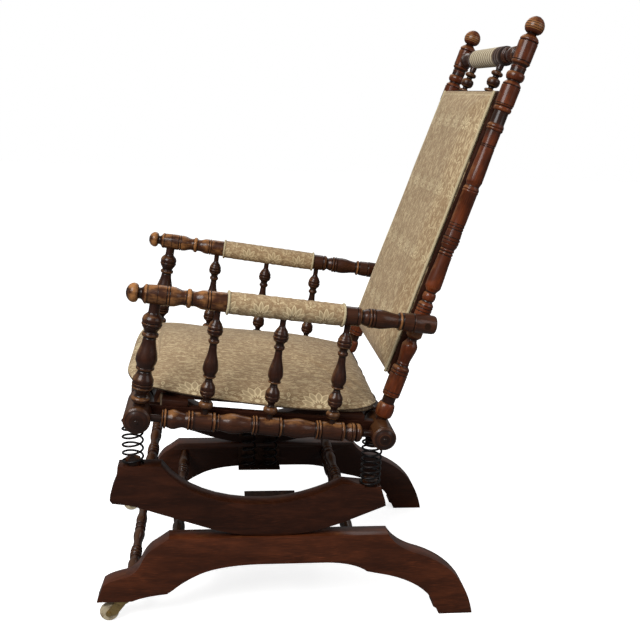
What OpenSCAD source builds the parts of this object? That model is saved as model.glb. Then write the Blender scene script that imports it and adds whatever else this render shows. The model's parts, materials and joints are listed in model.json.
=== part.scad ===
// Platform rocker: a turned walnut chair on sprung rockers over a sawn base.
// The chair faces -X, its left side is -Y, Z is up, and every length is in millimetres.
// The origin is on the floor, under the middle of the overall box.

/* [Base] */
// Width over the outer faces of the two base rails
base_w = 453; // [440:1:470]
// Thickness of each base rail
base_rail_t = 33; // [30:1:36]
// Length of a base rail from toe to heel
base_rail_l = 688; // [670:1:700]
// Distance from the middle of the chair forward to the toes
toe_x = 365; // [360:0.5:372]
// Height of the level top of the base rails
base_top_z = 167; // [160:1:175]
// Height of the underside of the toes above the floor
toe_z = 45; // [44:1:48]
// Largest radius of the base stretchers
base_stretcher_r = 11.5; // [10:0.5:12.5]
// Place of the front base stretcher behind the toes
base_front_stretcher_in = 58; // [54:1:62]
// Height of the front base stretcher
base_front_stretcher_z = 68; // [66:1:72]
// Place of the middle base stretcher behind the toes
base_middle_stretcher_in = 140; // [130:1:150]
// Place of the rear base stretcher behind the toes
base_rear_stretcher_in = 453; // [440:1:460]
// Height of the middle and rear base stretchers
base_high_stretcher_z = 144; // [140:1:146]

/* [Casters] */
// Radius of a caster wheel
wheel_r = 17; // [16:0.5:17.5]
// Width of a caster wheel
wheel_w = 13; // [10:0.5:14]
// Place of the caster stem behind the toe
caster_in = 42; // [38:1:46]
// Distance from the swivel axis forward to the wheel's axle
caster_trail = 22; // [20:1:24]
// Radius of the caster stem
stem_r = 4; // [3:0.5:5]
// Length of the caster stem
stem_l = 22; // [18:1:24]
// Radius of the socket's plate and of the fork's crown
socket_plate_r = 15; // [13:0.5:16]
// Radius of a wheel's axle
axle_r = 2.5; // [2:0.25:3]

/* [Rockers] */
// Radius of the rolling edge
rocker_arc_r = 360; // [350:1:380]
// Place of the rolling contact, forward of the middle
contact_in_front = 60; // [55:1:65]
// Thickness of each rocker board
rocker_t = 31; // [29:1:32]
// Inset of a rocker's outer face from the base rail's outer face
rocker_inset = 3.5; // [2:0.5:6]
// Length of a rocker board
rocker_l = 484; // [470:1:495]
// Distance from the middle forward to the rocker's front end
rocker_front_x = 339; // [334:1:344]
// Height of a rocker board from the rolling edge to its front shoulder
rocker_h = 136; // [130:1:140]
// Largest radius of the rocker stretchers
rocker_stretcher_r = 11; // [10:0.5:12]
// Place of the front rocker stretcher behind the rocker's front end
rocker_front_stretcher_in = 66; // [62:1:70]
// Height of the front rocker stretcher above the base rails
rocker_front_stretcher_up = 112; // [108:1:116]
// Place of the rear rocker stretcher behind the rocker's front end
rocker_rear_stretcher_in = 408; // [400:1:412]
// Height of the rear rocker stretcher above the base rails
rocker_rear_stretcher_up = 62; // [58:1:66]

/* [Corner springs] */
// Outer diameter of a corner spring
corner_spring_d = 38; // [36:0.5:40]
// Wire diameter of a corner spring
corner_wire_d = 3.8; // [3.2:0.1:4]
// Number of curls in a front corner spring
front_curls = 6; // [5:1:8]
// Number of curls in a rear corner spring
rear_curls = 8; // [6:1:9]
// Distance from the front cross rail's axis forward to the front springs
front_spring_lead = 12; // [11:1:13]
// Distance from the rear cross rail's axis forward to the rear springs
rear_spring_lead = 13; // [12:1:14]
// Depth of the level seat cut for the rear springs below the rocker's front shoulder
rear_seat_drop = 45; // [44:0.5:46]
// Radius of the iron dish above each corner spring
dish_r = 19.4; // [19.2:0.1:20]
// Thickness of the iron dish
dish_t = 2.5; // [2:0.5:4]
// Radius of the plugs that hold the coils in place
plug_r = 13; // [12:0.5:14]
// Height of the plugs inside the coils
plug_h = 10; // [8:1:12]

/* [Platform springs] */
// Outer diameter of a platform spring
platform_spring_d = 32; // [28:1:34]
// Wire diameter of a platform spring
platform_wire_d = 4; // [3.5:0.1:4.5]
// Number of curls in a platform spring
platform_curls = 6; // [5:1:7]
// Half the distance between the two springs of a pair
platform_spring_apart = 24; // [20:1:28]
// Thickness of the bracket iron
bracket_t = 3; // [2.5:0.5:4]
// Length of a bracket
bracket_l = 92; // [86:1:96]
// Height of a bracket's upright plate
bracket_h = 40; // [36:1:42]
// Width of a bracket's shelf
bracket_shelf_w = 36; // [34:1:38]
// Height of the lower bracket's shelf above the floor
lower_bracket_z = 118; // [116:1:120]
// Height of the upper bracket's shelf above the base rails
upper_bracket_up = 55; // [52:1:57]
// Radius of a bracket screw
screw_r = 2.2; // [2:0.1:2.5]
// Length of a bracket screw in the wood
screw_l = 14; // [10:1:18]

/* [Cross rails and side rails] */
// Distance from the middle forward to the front cross rail's axis
front_rail_x = 288; // [284:1:290]
// Height of the front cross rail's axis
front_rail_z = 405; // [400:1:408]
// Radius of the front cross rail
front_rail_r = 22.5; // [21:0.5:23]
// Length of the front cross rail
front_rail_l = 556; // [550:1:562]
// Distance from the middle back to the rear cross rail's axis
rear_rail_x = 129; // [127:1:131]
// Height of the rear cross rail's axis
rear_rail_z = 361; // [358:1:364]
// Radius of the rear cross rail
rear_rail_r = 21; // [20:0.5:22]
// Length of the rear cross rail
rear_rail_l = 508; // [500:1:512]
// Depth of the flat for the spring dishes below a cross rail's axis
rail_flat_down = 14.5; // [14:0.5:15]
// Largest radius of the side rails
side_rail_r = 17; // [16:0.5:18.5]
// How far each tenon ends short of the axis that it points at
tenon_short = 9; // [8:0.5:10]

/* [Seat] */
// Thickness of the seat boards inside the side rails
seat_board_t = 16; // [14:1:18]
// Height of a seat board above the side rail's axis
seat_board_up = 16; // [14:1:18]
// Depth of a seat board below the side rail's axis
seat_board_down = 12; // [10:1:13]
// Height of the blocks between the seat boards and the seat frame
seat_block_h = 10; // [8:1:12]
// Length of a seat block
seat_block_l = 46; // [40:1:52]
// Width of a seat block
seat_block_w = 38; // [36:1:40]
// Thickness of the seat frame
seat_frame_t = 12; // [10:1:14]
// Width of the seat frame's boards
seat_frame_w = 40; // [36:1:44]
// Half width of the cushion at its front
cushion_front_half = 226; // [220:1:228]
// Half width of the cushion at its rear
cushion_rear_half = 203; // [198:1:206]
// How far the cushion reaches in front of the front cross rail's axis
cushion_lead = 34; // [30:1:35]
// Length of the cushion from front to rear
cushion_l = 444; // [438:1:446]
// Rise of the cushion's crown above its bottom edge
cushion_crown = 33; // [30:1:38]
// Drop of the front roll's lip below the seat frame's top
cushion_roll = 20; // [14:1:21]
// Width of a strap of the seat webbing
strap_w = 50; // [44:1:54]
// Thickness of a webbing strap
strap_t = 1.5; // [1:0.1:2]

/* [Arms] */
// Slope of the arm rails down to the rear, in degrees
arm_drop = 6.42; // [6:0.05:6.8]
// Angle of the arm rails in plan, narrower at the rear, in degrees
arm_taper = 3.2; // [2.8:0.1:3.4]
// Height above the rear cross rail at which an arm crosses its back post
arm_cross_up = 199; // [195:1:203]
// Largest radius of the arm rails
arm_r = 16.5; // [15.5:0.5:17]
// How far an arm rail reaches in front of its front post
arm_lead = 47.5; // [44:0.5:52]
// Length of an arm rail behind the point where it crosses the back post
arm_tail = 17; // [16:1:24]
// Radius of the arm sleeves
arm_sleeve_r = 18.5; // [17.5:0.5:19]
// Largest radius of the front posts
arm_post_r = 17.5; // [16:0.5:18]
// How far the front posts lean back up to the arm rails
arm_post_lean = 32; // [28:1:36]
// Largest radius of the arm spindles
spindle_r = 13; // [12:0.5:13.5]
// Distance from the front cross rail back to the first spindle
spindle_first = 108; // [105:1:112]
// Distance from one spindle to the next
spindle_pitch = 108; // [106:1:110]
// Number of spindles under each arm
spindle_count = 3; // [2:1:3]
// How far a spindle leans back up to the arm rail
spindle_lean = 22.5; // [18:0.5:26]
// Radius of the bolt that holds an arm to its back post
arm_bolt_r = 3; // [2.5:0.25:3.5]

/* [Back] */
// Rake of the back from the vertical, in degrees
back_rake = 17.9; // [17.5:0.1:18.2]
// Distance from the rear cross rail's axis forward to the axes of the back posts
post_lead = 4; // [2:0.5:5]
// Distance between the axes of the back posts at the rear cross rail
post_foot_w = 399; // [394:1:402]
// Inward lean of each back post, in degrees
post_splay = 1.95; // [1.8:0.05:2.1]
// Length of a back post above the crest rail's axis
finial_l = 62; // [58:1:66]
// Largest radius of the back posts
post_r = 16; // [15:0.5:16.5]
// Distance from the back frame's top to the crest rail's axis
crest_gap = 67; // [62:1:72]
// Largest radius of the crest rail
crest_r = 15; // [14:0.5:16]
// Radius of the crest sleeve
crest_sleeve_r = 17; // [16.5:0.5:17.5]
// Length of the crest sleeve
crest_sleeve_l = 186; // [180:1:196]
// Largest radius of the crest spindles
crest_spindle_r = 12; // [11:0.5:12.5]
// Distance between the two crest spindles
crest_spindle_apart = 160; // [150:1:170]
// Height of the back frame's lower end along the back
back_frame_up = 97; // [95:1:102]
// Length of the back frame
back_frame_l = 516; // [510:1:520]
// Width of the back frame's boards
back_frame_w = 18; // [16:1:20]
// Thickness of the back frame
back_frame_t = 20; // [18:1:22]
// Distance from the post axes forward to the front of the back frame
back_frame_lead = 13; // [11:1:15]
// Rise of the back panel's crown in front of the back frame
panel_crown = 14; // [10:1:16]

/* [Fits] */
// Gap between a tenon and its socket
socket_fit = 0.08; // [0.05:0.01:0.1]
// Gap between pieces that lie side by side
seat_gap = 0.3; // [0.25:0.01:0.35]
// Radial clearance of a turning stem or axle
running_fit = 0.06; // [0.04:0.01:0.1]
// Gap under the rolling edge of the rockers
roll_gap = 0.3; // [0.2:0.05:0.4]

/* [Hidden] */
left = -1;
right = 1;
turned_faces = 48;
overrun = 2;

// Numbers of steps along short and long turned rows and along sawn curves
plain_steps = 5;
fine_steps = 9;
fine_row = 20;
sawn_steps = 8;

// Colours of the finishes
walnut = [0.30, 0.15, 0.09];
walnut_dark = [0.20, 0.10, 0.07];
tapestry = [0.70, 0.60, 0.45];
iron = [0.10, 0.10, 0.11];
brass = [0.72, 0.60, 0.35];
jute = [0.58, 0.47, 0.32];

// Places of the base and the rockers
rail_mid_y = (base_w - base_rail_t) / 2;
rail_inner_y = base_w / 2 - base_rail_t;
rocker_outer_y = base_w / 2 - rocker_inset;
rocker_inner_y = rocker_outer_y - rocker_t;
rocker_mid_y = rocker_outer_y - rocker_t / 2;
roll_z = base_top_z + roll_gap;
arc_z = roll_z + rocker_arc_r;
tenon_l = 12;
heel_share = 0.907;

// Outline of a base rail in shares of its length and of its top height, as curve rows of
// start, handle and end, from the toe over the top to the heel and back under the arch
toe_share = toe_z / base_top_z;
base_toe_shares = [[0.016, 0.461], [0.0305, 0.515], [0.0698, 0.551]];
base_sweep_shares = [[0.0698, 0.551], [0.096, 0.581], [0.1105, 0.689]];
base_shoulder_shares = [[0.1105, 0.689], [0.125, 0.85], [0.1512, 0.904]];
base_top_shares = [[0.1831, 1], [0.7529, 1]];
base_ogee_shares = [[0.7529, 1], [0.7733, 0.856], [0.8227, 0.778]];
base_leg_shares = [[0.8227, 0.778], [0.9128, 0.671], [0.9593, 0.407]];
base_heel_shares = [[0.9593, 0.407], [0.9884, 0.2275], [1, 0]];
base_step_shares = [[heel_share, 0], [0.8983, 0.072], [0.8895, 0.096]];
base_rear_arch_shares = [[0.891, 0.144], [0.859, 0.395], [0.7616, 0.503]];
base_crown_shares = [[0.702, 0.557], [0.6657, 0.671], [0.5901, 0.677]];
base_front_arch_shares = [[0.4157, 0.677], [0.2994, 0.671], [0.2485, 0.545]];
base_instep_shares = [[0.2485, 0.545], [0.2195, 0.485], [0.1948, 0.395]];
base_ball_shares = [[0.1788, 0.347], [0.1177, 0.323], [0.0901, toe_share]];

// Outline of a rocker board in shares of its length and height
rocker_nose_shares = [[0, 0.537], [0, 0.647], [0.0165, 0.772]];
rocker_horn_shares = [[0.0165, 0.772], [0.0269, 0.875], [0.0289, 1]];
rocker_front_dip_shares = [[0.1798, 1], [0.2872, 0.4559], [0.5455, 0.4559]];
rocker_rear_dip_shares = [[0.5455, 0.4559], [0.6798, 0.4559], [0.8347, 0.7279]];
rocker_tail_shares = [[0.9773, 0.6765], [0.9959, 0.478], [1, 0.4044]];
rocker_chin_shares = [[0.0744, 0.463], [0.0083, 0.4926]];
rocker_front_arc = 19.5;
rocker_rear_arc = 21.5;
arc_step = 1;

// Turned profiles. A row is a kind, its part of the length, the radius at its end and, for a
// bulge, the radius that it swells or draws in to. Radii are hundredths of the largest radius.
arm_shares = [
    ["bulge", 20, 58, 93], ["bulge", 5, 60, 54], ["curve", 5, 92], ["bulge", 3, 92, 98],
    ["line", 16, 98], ["bulge", 1.5, 98, 94], ["line", 13, 98], ["bulge", 2, 98, 91],
    ["line", 2.5, 98], ["bulge", 2, 98, 91], ["line", 4, 97], ["curve", 17, 73], ["curve", 5, 76],
    ["bulge", 8, 76, 97], ["curve", 5, 73], ["curve", 14, 95], ["line", 6, 97],
    ["bulge", 1.5, 97, 89], ["bulge", 3, 97, 100], ["bulge", 1.5, 97, 89], ["line", 25, 98],
    ["line", 0.5, 88], ["line", 197, 88], ["line", 0.5, 97], ["line", 19.5, 97],
    ["bulge", 2, 97, 90], ["bulge", 4, 97, 100], ["curve", 5, 73], ["curve", 9, 88],
    ["bulge", 2, 92, 84], ["bulge", 4, 96, 100], ["bulge", 1.5, 96, 88], ["bulge", 4, 96, 100],
    ["bulge", 1.5, 96, 88], ["curve", 9, 99], ["curve", 30, 74], ["bulge", 3, 80, 72],
    ["bulge", 5, 88, 96], ["bulge", 3, 92, 82], ["line", 16, 97], ["bulge", 2, 97, 88],
    ["bulge", 3, 98, 100], ["line", 31, 98], ["curve", 4, 92], ["line", 1, 86]
];
arm_sleeve_shares = [0.3103, 0.6906];
arm_core_share = 0.88;

arm_post_shares = [
    ["line", 15, 57], ["curve", 3, 66], ["bulge", 10, 60, 88], ["bulge", 6, 60, 53],
    ["curve", 7, 84], ["bulge", 4, 94, 98], ["bulge", 1.5, 94, 88], ["bulge", 4, 98, 100],
    ["bulge", 1.5, 96, 88], ["line", 3, 99], ["curve", 16, 65], ["bulge", 3, 72, 62],
    ["bulge", 5, 80, 86], ["curve", 12, 100], ["curve", 37, 60], ["bulge", 2.5, 66, 58],
    ["bulge", 6.5, 66, 78], ["bulge", 5, 70, 61], ["curve", 6, 88], ["bulge", 1.5, 90, 84],
    ["bulge", 4, 92, 96], ["bulge", 1.5, 92, 86], ["bulge", 7, 90, 95], ["curve", 10, 50],
    ["line", 23, 50]
];

spindle_shares = [
    ["line", 15, 46], ["bulge", 14, 46, 96], ["bulge", 5, 48, 41], ["curve", 7, 92],
    ["bulge", 1.5, 94, 88], ["bulge", 5, 96, 100], ["bulge", 1.5, 96, 88], ["line", 3, 96],
    ["curve", 14, 48], ["bulge", 4, 56, 46], ["bulge", 4, 74, 84], ["curve", 10, 100],
    ["curve", 39, 49], ["bulge", 6, 54, 47], ["bulge", 7, 56, 71], ["bulge", 4, 58, 54],
    ["curve", 6, 94], ["bulge", 1.5, 94, 88], ["bulge", 5, 96, 100], ["bulge", 1.5, 94, 86],
    ["bulge", 5, 84, 94], ["curve", 12, 39], ["line", 23, 40]
];

side_rail_shares = [
    ["line", 29, 38], ["bulge", 3, 84, 88], ["bulge", 1.5, 84, 78], ["bulge", 4, 88, 97],
    ["bulge", 2, 84, 78], ["curve", 9, 97], ["curve", 19, 72], ["curve", 5, 82],
    ["bulge", 4, 86, 96], ["bulge", 1.5, 86, 80], ["bulge", 4, 90, 97], ["line", 30, 91],
    ["bulge", 2, 88, 82], ["bulge", 5, 86, 97], ["bulge", 3, 78, 74], ["bulge", 3, 78, 84],
    ["curve", 23, 100], ["curve", 30, 78], ["bulge", 3, 82, 76], ["bulge", 3, 88, 95],
    ["bulge", 1.5, 88, 82], ["bulge", 4, 90, 98], ["bulge", 2, 88, 82], ["line", 34, 94],
    ["bulge", 1.5, 90, 84], ["bulge", 4, 90, 98], ["bulge", 4, 80, 76], ["curve", 25, 100],
    ["curve", 28, 78], ["bulge", 3, 84, 76], ["bulge", 3, 90, 96], ["bulge", 1.5, 90, 84],
    ["bulge", 4, 92, 99], ["bulge", 1.5, 90, 84], ["line", 33, 96], ["bulge", 1.5, 92, 86],
    ["bulge", 5, 92, 99], ["bulge", 5, 76, 70], ["curve", 7, 94], ["bulge", 1.5, 92, 84],
    ["bulge", 6, 88, 98], ["bulge", 2, 84, 76], ["bulge", 9, 74, 94], ["curve", 5, 38],
    ["line", 26, 38]
];

back_post_shares = [
    ["line", 14, 60], ["curve", 3, 82], ["bulge", 26, 72, 100], ["curve", 5, 72], ["line", 6, 72],
    ["curve", 4, 97], ["bulge", 2, 97, 90], ["line", 4, 98], ["bulge", 2, 98, 90],
    ["line", 32, 98], ["bulge", 2, 97, 90], ["line", 4, 97], ["bulge", 2, 97, 90], ["line", 3, 96],
    ["curve", 7, 66], ["bulge", 4, 66, 70], ["curve", 31, 88], ["curve", 13, 53], ["curve", 7, 86],
    ["line", 44, 86], ["bulge", 2, 86, 80], ["line", 4, 86], ["bulge", 2, 86, 80], ["line", 3, 86],
    ["bulge", 2, 86, 80], ["curve", 8, 57], ["bulge", 15, 56, 73], ["curve", 12, 88],
    ["curve", 56, 76], ["bulge", 2, 74, 68], ["bulge", 4, 72, 77], ["bulge", 2, 72, 68],
    ["bulge", 4, 72, 77], ["curve", 8, 88], ["bulge", 2, 90, 84], ["line", 4, 92],
    ["bulge", 2, 92, 86], ["line", 4, 92], ["bulge", 2, 88, 82], ["line", 12, 83],
    ["bulge", 2, 83, 78], ["line", 3, 83], ["bulge", 2, 83, 78], ["line", 3, 83],
    ["bulge", 2, 83, 78], ["line", 55, 83], ["bulge", 4, 82, 87], ["bulge", 4, 82, 87],
    ["curve", 4, 74], ["curve", 9, 86], ["curve", 58, 78], ["bulge", 2, 78, 73], ["line", 1, 78],
    ["bulge", 2, 78, 73], ["line", 24, 78], ["bulge", 5, 84, 90], ["bulge", 5, 84, 90],
    ["curve", 3, 77], ["line", 20, 77], ["bulge", 8, 86, 96], ["curve", 3, 98],
    ["bulge", 2, 99, 92], ["line", 30, 100], ["bulge", 2, 98, 91], ["curve", 8, 69],
    ["bulge", 14, 78, 98], ["line", 7, 78], ["bulge", 3, 76, 82], ["line", 2, 78],
    ["curve", 4, 98], ["line", 2, 98], ["bulge", 2, 98, 91], ["line", 30, 100],
    ["bulge", 2, 96, 90], ["bulge", 4, 94, 99], ["curve", 9, 47], ["bulge", 28.4, 0, 100]
];

// Half profiles, from one end to the middle
cross_rail_shares = [
    ["bulge", 1.5, 16, 14], ["bulge", 5, 84, 64], ["line", 0.4, 90], ["curve", 2, 100],
    ["line", 4, 100], ["bulge", 2, 100, 91], ["line", 84, 100], ["bulge", 3, 96, 88],
    ["curve", 18, 78], ["bulge", 5, 80, 92], ["curve", 40, 98], ["curve", 46, 80],
    ["bulge", 5, 84, 95], ["line", 62, 86]
];
stretcher_shares = [
    ["line", 13, 66], ["curve", 52, 100], ["curve", 22, 74], ["bulge", 4, 76, 92],
    ["bulge", 3, 74, 66], ["bulge", 9, 76, 98], ["bulge", 3, 74, 66], ["bulge", 9, 76, 98],
    ["bulge", 3, 74, 66], ["bulge", 4, 76, 92], ["curve", 20, 72], ["curve", 34, 96],
    ["curve", 18, 76], ["bulge", 5, 78, 94], ["line", 6, 78]
];
crest_shares = [
    ["line", 12, 60], ["bulge", 3, 76, 66], ["bulge", 6, 80, 98], ["bulge", 3, 76, 68],
    ["curve", 10, 96], ["curve", 22, 74], ["bulge", 4, 76, 92], ["bulge", 3, 80, 70],
    ["bulge", 4, 86, 97], ["line", 96, 86]
];
crest_core_share = 0.86;
crest_spindle_shares = [
    ["line", 9, 50], ["bulge", 6, 50, 86], ["bulge", 4, 50, 40], ["bulge", 16, 60, 100],
    ["bulge", 4, 56, 44], ["bulge", 8, 60, 90], ["bulge", 4, 50, 42], ["line", 16, 50]
];

// Points along a turned profile, as radius and height
function row_start(rows, start, i) = i == 0 ? start : rows[i - 1][2];
function turned_length(rows) = [for (r = rows) r[1]] * [for (r = rows) 1];
function row_steps(row) = row[1] < fine_row ? plain_steps : fine_steps;
function row_points(row, from, z) =
    row[0] == "line" ? [[row[2], z + row[1]]] :
    [for (i = [1:row_steps(row)])
        let (t = i / row_steps(row), swing = (1 - cos(180 * t)) / 2)
        row[0] == "curve" ?
            [from + (row[2] - from) * swing, z + row[1] * t] :
            [from + (row[2] - from) * t + (row[3] - (from + row[2]) / 2) * sin(180 * t),
            z + row[1] * swing]];
function turned_rows(rows, start) = [
    for (i = 0, z = 0; i < len(rows); z = z + rows[i][1], i = i + 1)
        each row_points(rows[i], row_start(rows, start, i), z)
];
function turned_points(rows, start, length, radius) =
    let (k = length / turned_length(rows))
    concat([[start * radius / 100, 0]],
        [for (p = turned_rows(rows, start)) [max(p[0], 0) * radius / 100, p[1] * k]]);

// A piece turned from one end to the other
module turned(rows, start, length, radius) {
    points = turned_points(rows, start, length, radius);
    rotate_extrude($fn = turned_faces)
        polygon(concat([[0, 0]], points, [[0, length]]));
}

// A piece whose second half mirrors its first
module turned_twice(rows, start, length, radius) {
    half = turned_points(rows, start, length / 2, radius);
    back = [for (i = [len(half) - 2:-1:0]) [half[i][0], length - half[i][1]]];
    rotate_extrude($fn = turned_faces)
        polygon(concat([[0, 0]], half, back, [[0, length]]));
}

// Puts the children's Z axis on the line from p to q, starting at p
module along(p, q) {
    d = q - p;
    translate(p)
        rotate([0, acos(d[2] / norm(d)), atan2(d[1], d[0])])
            children();
}

// The right side as drawn, and the left side as its mirror image
module side(s) {
    mirror([0, s < 0 ? 1 : 0, 0])
        children();
}

// A quadratic curve from its start to its end, drawn towards its handle, without the start
function curve(p) = [for (i = [1:sawn_steps])
    let (t = i / sawn_steps)
    p[0] * (1 - t) * (1 - t) + p[1] * 2 * t * (1 - t) + p[2] * t * t];

// An upright board of the given outline, with its inner face at y
module upright_board(outline, y, t) {
    translate([0, y + t, 0])
        rotate([90, 0, 0])
            linear_extrude(t)
                polygon(outline);
}

// Base rail
function base_point(s) = [s[0] * base_rail_l - toe_x, s[1] * base_top_z];
base_outline = [for (s = concat(
    [[0, toe_share], base_toe_shares[0]], curve(base_toe_shares), curve(base_sweep_shares),
    curve(base_shoulder_shares), base_top_shares, curve(base_ogee_shares),
    curve(base_leg_shares), curve(base_heel_shares), base_step_shares,
    [base_rear_arch_shares[0]], curve(base_rear_arch_shares), [base_crown_shares[0]],
    curve(base_crown_shares), [base_front_arch_shares[0]], curve(base_front_arch_shares),
    curve(base_instep_shares), [base_ball_shares[0]], curve(base_ball_shares)
)) base_point(s)];
base_stretcher_places = [
    [base_front_stretcher_in - toe_x, base_front_stretcher_z],
    [base_middle_stretcher_in - toe_x, base_high_stretcher_z],
    [base_rear_stretcher_in - toe_x, base_high_stretcher_z]
];
caster_x = caster_in - toe_x;
stretcher_tenon_share = 0.66;
socket_wall = 2;
socket_plate_t = 2.5;
socket_r = stem_r + running_fit + socket_wall;

module base_rail() {
    color(walnut)
    difference() {
        upright_board(base_outline, rail_inner_y, base_rail_t);
        for (p = base_stretcher_places)
            translate([p[0], rail_inner_y - overrun, p[1]])
                rotate([-90, 0, 0])
                    cylinder(h = tenon_l + seat_gap + overrun,
                        r = base_stretcher_r * stretcher_tenon_share + socket_fit, $fn = turned_faces);
        translate([caster_x, rail_mid_y, toe_z - overrun])
            cylinder(h = stem_l + seat_gap + overrun, r = socket_r + socket_fit, $fn = turned_faces);
        screw_holes(rail_inner_y, lower_bracket_z + bracket_h / 2);
    }
}
module base_rail_left() side(left) base_rail();
module base_rail_right() side(right) base_rail();

// A turned stretcher between two boards whose inner faces are at y on both sides
module stretcher(x, z, y, r) {
    color(walnut)
    along([x, -y - tenon_l, z], [x, y + tenon_l, z])
        turned_twice(stretcher_shares, stretcher_tenon_share * 100, (y + tenon_l) * 2, r);
}
module base_stretcher(i) {
    p = base_stretcher_places[i];
    stretcher(p[0], p[1], rail_inner_y, base_stretcher_r);
}
module base_stretcher_front() base_stretcher(0);
module base_stretcher_middle() base_stretcher(1);
module base_stretcher_rear() base_stretcher(2);

// Casters: a plate and tube in the toe, a horn that swivels, and a wheel on its axle
fork_t = 2.5;
fork_gap = 0.6;
crown_t = 4;
fork_inner = wheel_w / 2 + fork_gap;
crown_z = toe_z - socket_plate_t - running_fit;
wheel_x = caster_x - caster_trail;
axle_boss_r = axle_r * 2.2;
crown_share = 0.62;
horn_waist_share = 0.45;
rim_round_share = 0.25;

module caster_socket() {
    color(brass)
    translate([caster_x, rail_mid_y, 0])
    difference() {
        union() {
            translate([0, 0, toe_z - socket_plate_t])
                cylinder(h = socket_plate_t, r = socket_plate_r, $fn = turned_faces);
            translate([0, 0, toe_z - socket_plate_t])
                cylinder(h = stem_l + socket_plate_t, r = socket_r, $fn = turned_faces);
        }
        translate([0, 0, toe_z - socket_plate_t - overrun])
            cylinder(h = stem_l + overrun, r = stem_r + running_fit, $fn = turned_faces);
    }
}
module caster_socket_left() side(left) caster_socket();
module caster_socket_right() side(right) caster_socket();

// One cheek of the horn: it sweeps forward from the crown down to the axle
cheek = [
    [caster_x + socket_plate_r * crown_share, crown_z],
    [caster_x - socket_plate_r * crown_share, crown_z],
    [wheel_x - axle_boss_r, wheel_r],
    [wheel_x, wheel_r - axle_boss_r],
    [wheel_x + caster_trail * horn_waist_share + axle_boss_r, wheel_r],
    [caster_x + socket_plate_r * crown_share, crown_z - crown_t]
];
module caster_fork() {
    color(brass)
    difference() {
        union() {
            translate([caster_x, rail_mid_y, crown_z - crown_t])
                cylinder(h = crown_t, r = socket_plate_r, $fn = turned_faces);
            translate([caster_x, rail_mid_y, crown_z - crown_t])
                cylinder(h = stem_l + crown_t - seat_gap, r = stem_r, $fn = turned_faces);
            for (s = [left, right])
                translate([0, rail_mid_y + s * (fork_inner + fork_t / 2) + fork_t / 2, 0])
                    rotate([90, 0, 0])
                        linear_extrude(fork_t)
                            polygon(cheek);
            for (s = [left, right])
                translate([wheel_x, rail_mid_y + s * (fork_inner + fork_t / 2) + fork_t / 2, wheel_r])
                    rotate([90, 0, 0])
                        cylinder(h = fork_t, r = axle_boss_r, $fn = turned_faces);
        }
        translate([wheel_x, rail_mid_y + fork_inner + fork_t + overrun, wheel_r])
            rotate([90, 0, 0])
                cylinder(h = (fork_inner + fork_t + overrun) * 2, r = axle_r + running_fit,
                    $fn = turned_faces);
        translate([wheel_x, rail_mid_y + fork_inner, wheel_r])
            rotate([90, 0, 0])
                cylinder(h = fork_inner * 2, r = wheel_r + fork_gap, $fn = turned_faces);
    }
}
module caster_fork_left() side(left) caster_fork();
module caster_fork_right() side(right) caster_fork();

axle_head_share = 1.5;
module caster_axle() {
    half = fork_inner + fork_t;
    color(brass)
    translate([wheel_x, rail_mid_y, wheel_r])
    rotate([90, 0, 0]) {
        translate([0, 0, -half - axle_r])
            cylinder(h = half * 2 + axle_r * 2, r = axle_r, $fn = turned_faces);
        for (z = [-half - axle_r, half + seat_gap])
            translate([0, 0, z])
                cylinder(h = axle_r - seat_gap, r = axle_r * axle_head_share, $fn = turned_faces);
    }
}
module caster_axle_left() side(left) caster_axle();
module caster_axle_right() side(right) caster_axle();

module caster_wheel() {
    round = wheel_w * rim_round_share;
    color(brass)
    translate([wheel_x, rail_mid_y, wheel_r])
    rotate([90, 0, 0])
    translate([0, 0, -wheel_w / 2])
    rotate_extrude($fn = turned_faces)
        polygon(concat(
            [[axle_r + running_fit, 0], [wheel_r - round, 0]],
            [for (a = [-60:30:60]) [wheel_r - round + round * cos(a), wheel_w / 2 * (1 + sin(a))]],
            [[wheel_r - round, wheel_w], [axle_r + running_fit, wheel_w]]));
}
module caster_wheel_left() side(left) caster_wheel();
module caster_wheel_right() side(right) caster_wheel();

// Rocker boards: a true arc rolls on the base, and the ends run straight
function rocker_point(s) = [s[0] * rocker_l - rocker_front_x, s[1] * rocker_h + roll_z];
function arc_point(a) = [rocker_arc_r * sin(a) - contact_in_front, arc_z - rocker_arc_r * cos(a)];
rocker_outline = concat(
    [for (s = concat(
        rocker_chin_shares, [rocker_nose_shares[0]], curve(rocker_nose_shares),
        curve(rocker_horn_shares), [rocker_front_dip_shares[0]], curve(rocker_front_dip_shares),
        curve(rocker_rear_dip_shares), rocker_tail_shares
    )) rocker_point(s)],
    [for (a = [rocker_rear_arc:-arc_step:-rocker_front_arc]) arc_point(a)]);
shoulder_z = roll_z + rocker_h;
rear_seat_z = shoulder_z - rear_seat_drop;
rocker_stretcher_places = [
    [rocker_front_stretcher_in - rocker_front_x, roll_z + rocker_front_stretcher_up],
    [rocker_rear_stretcher_in - rocker_front_x, roll_z + rocker_rear_stretcher_up]
];
front_spring_x = -front_rail_x - front_spring_lead;
rear_spring_x = rear_rail_x - rear_spring_lead;
front_dish_x = -front_rail_x - front_spring_lead / 2;
rear_dish_x = rear_rail_x - rear_spring_lead / 2;
spring_cut_r = corner_spring_d / 2 + seat_gap;

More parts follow.
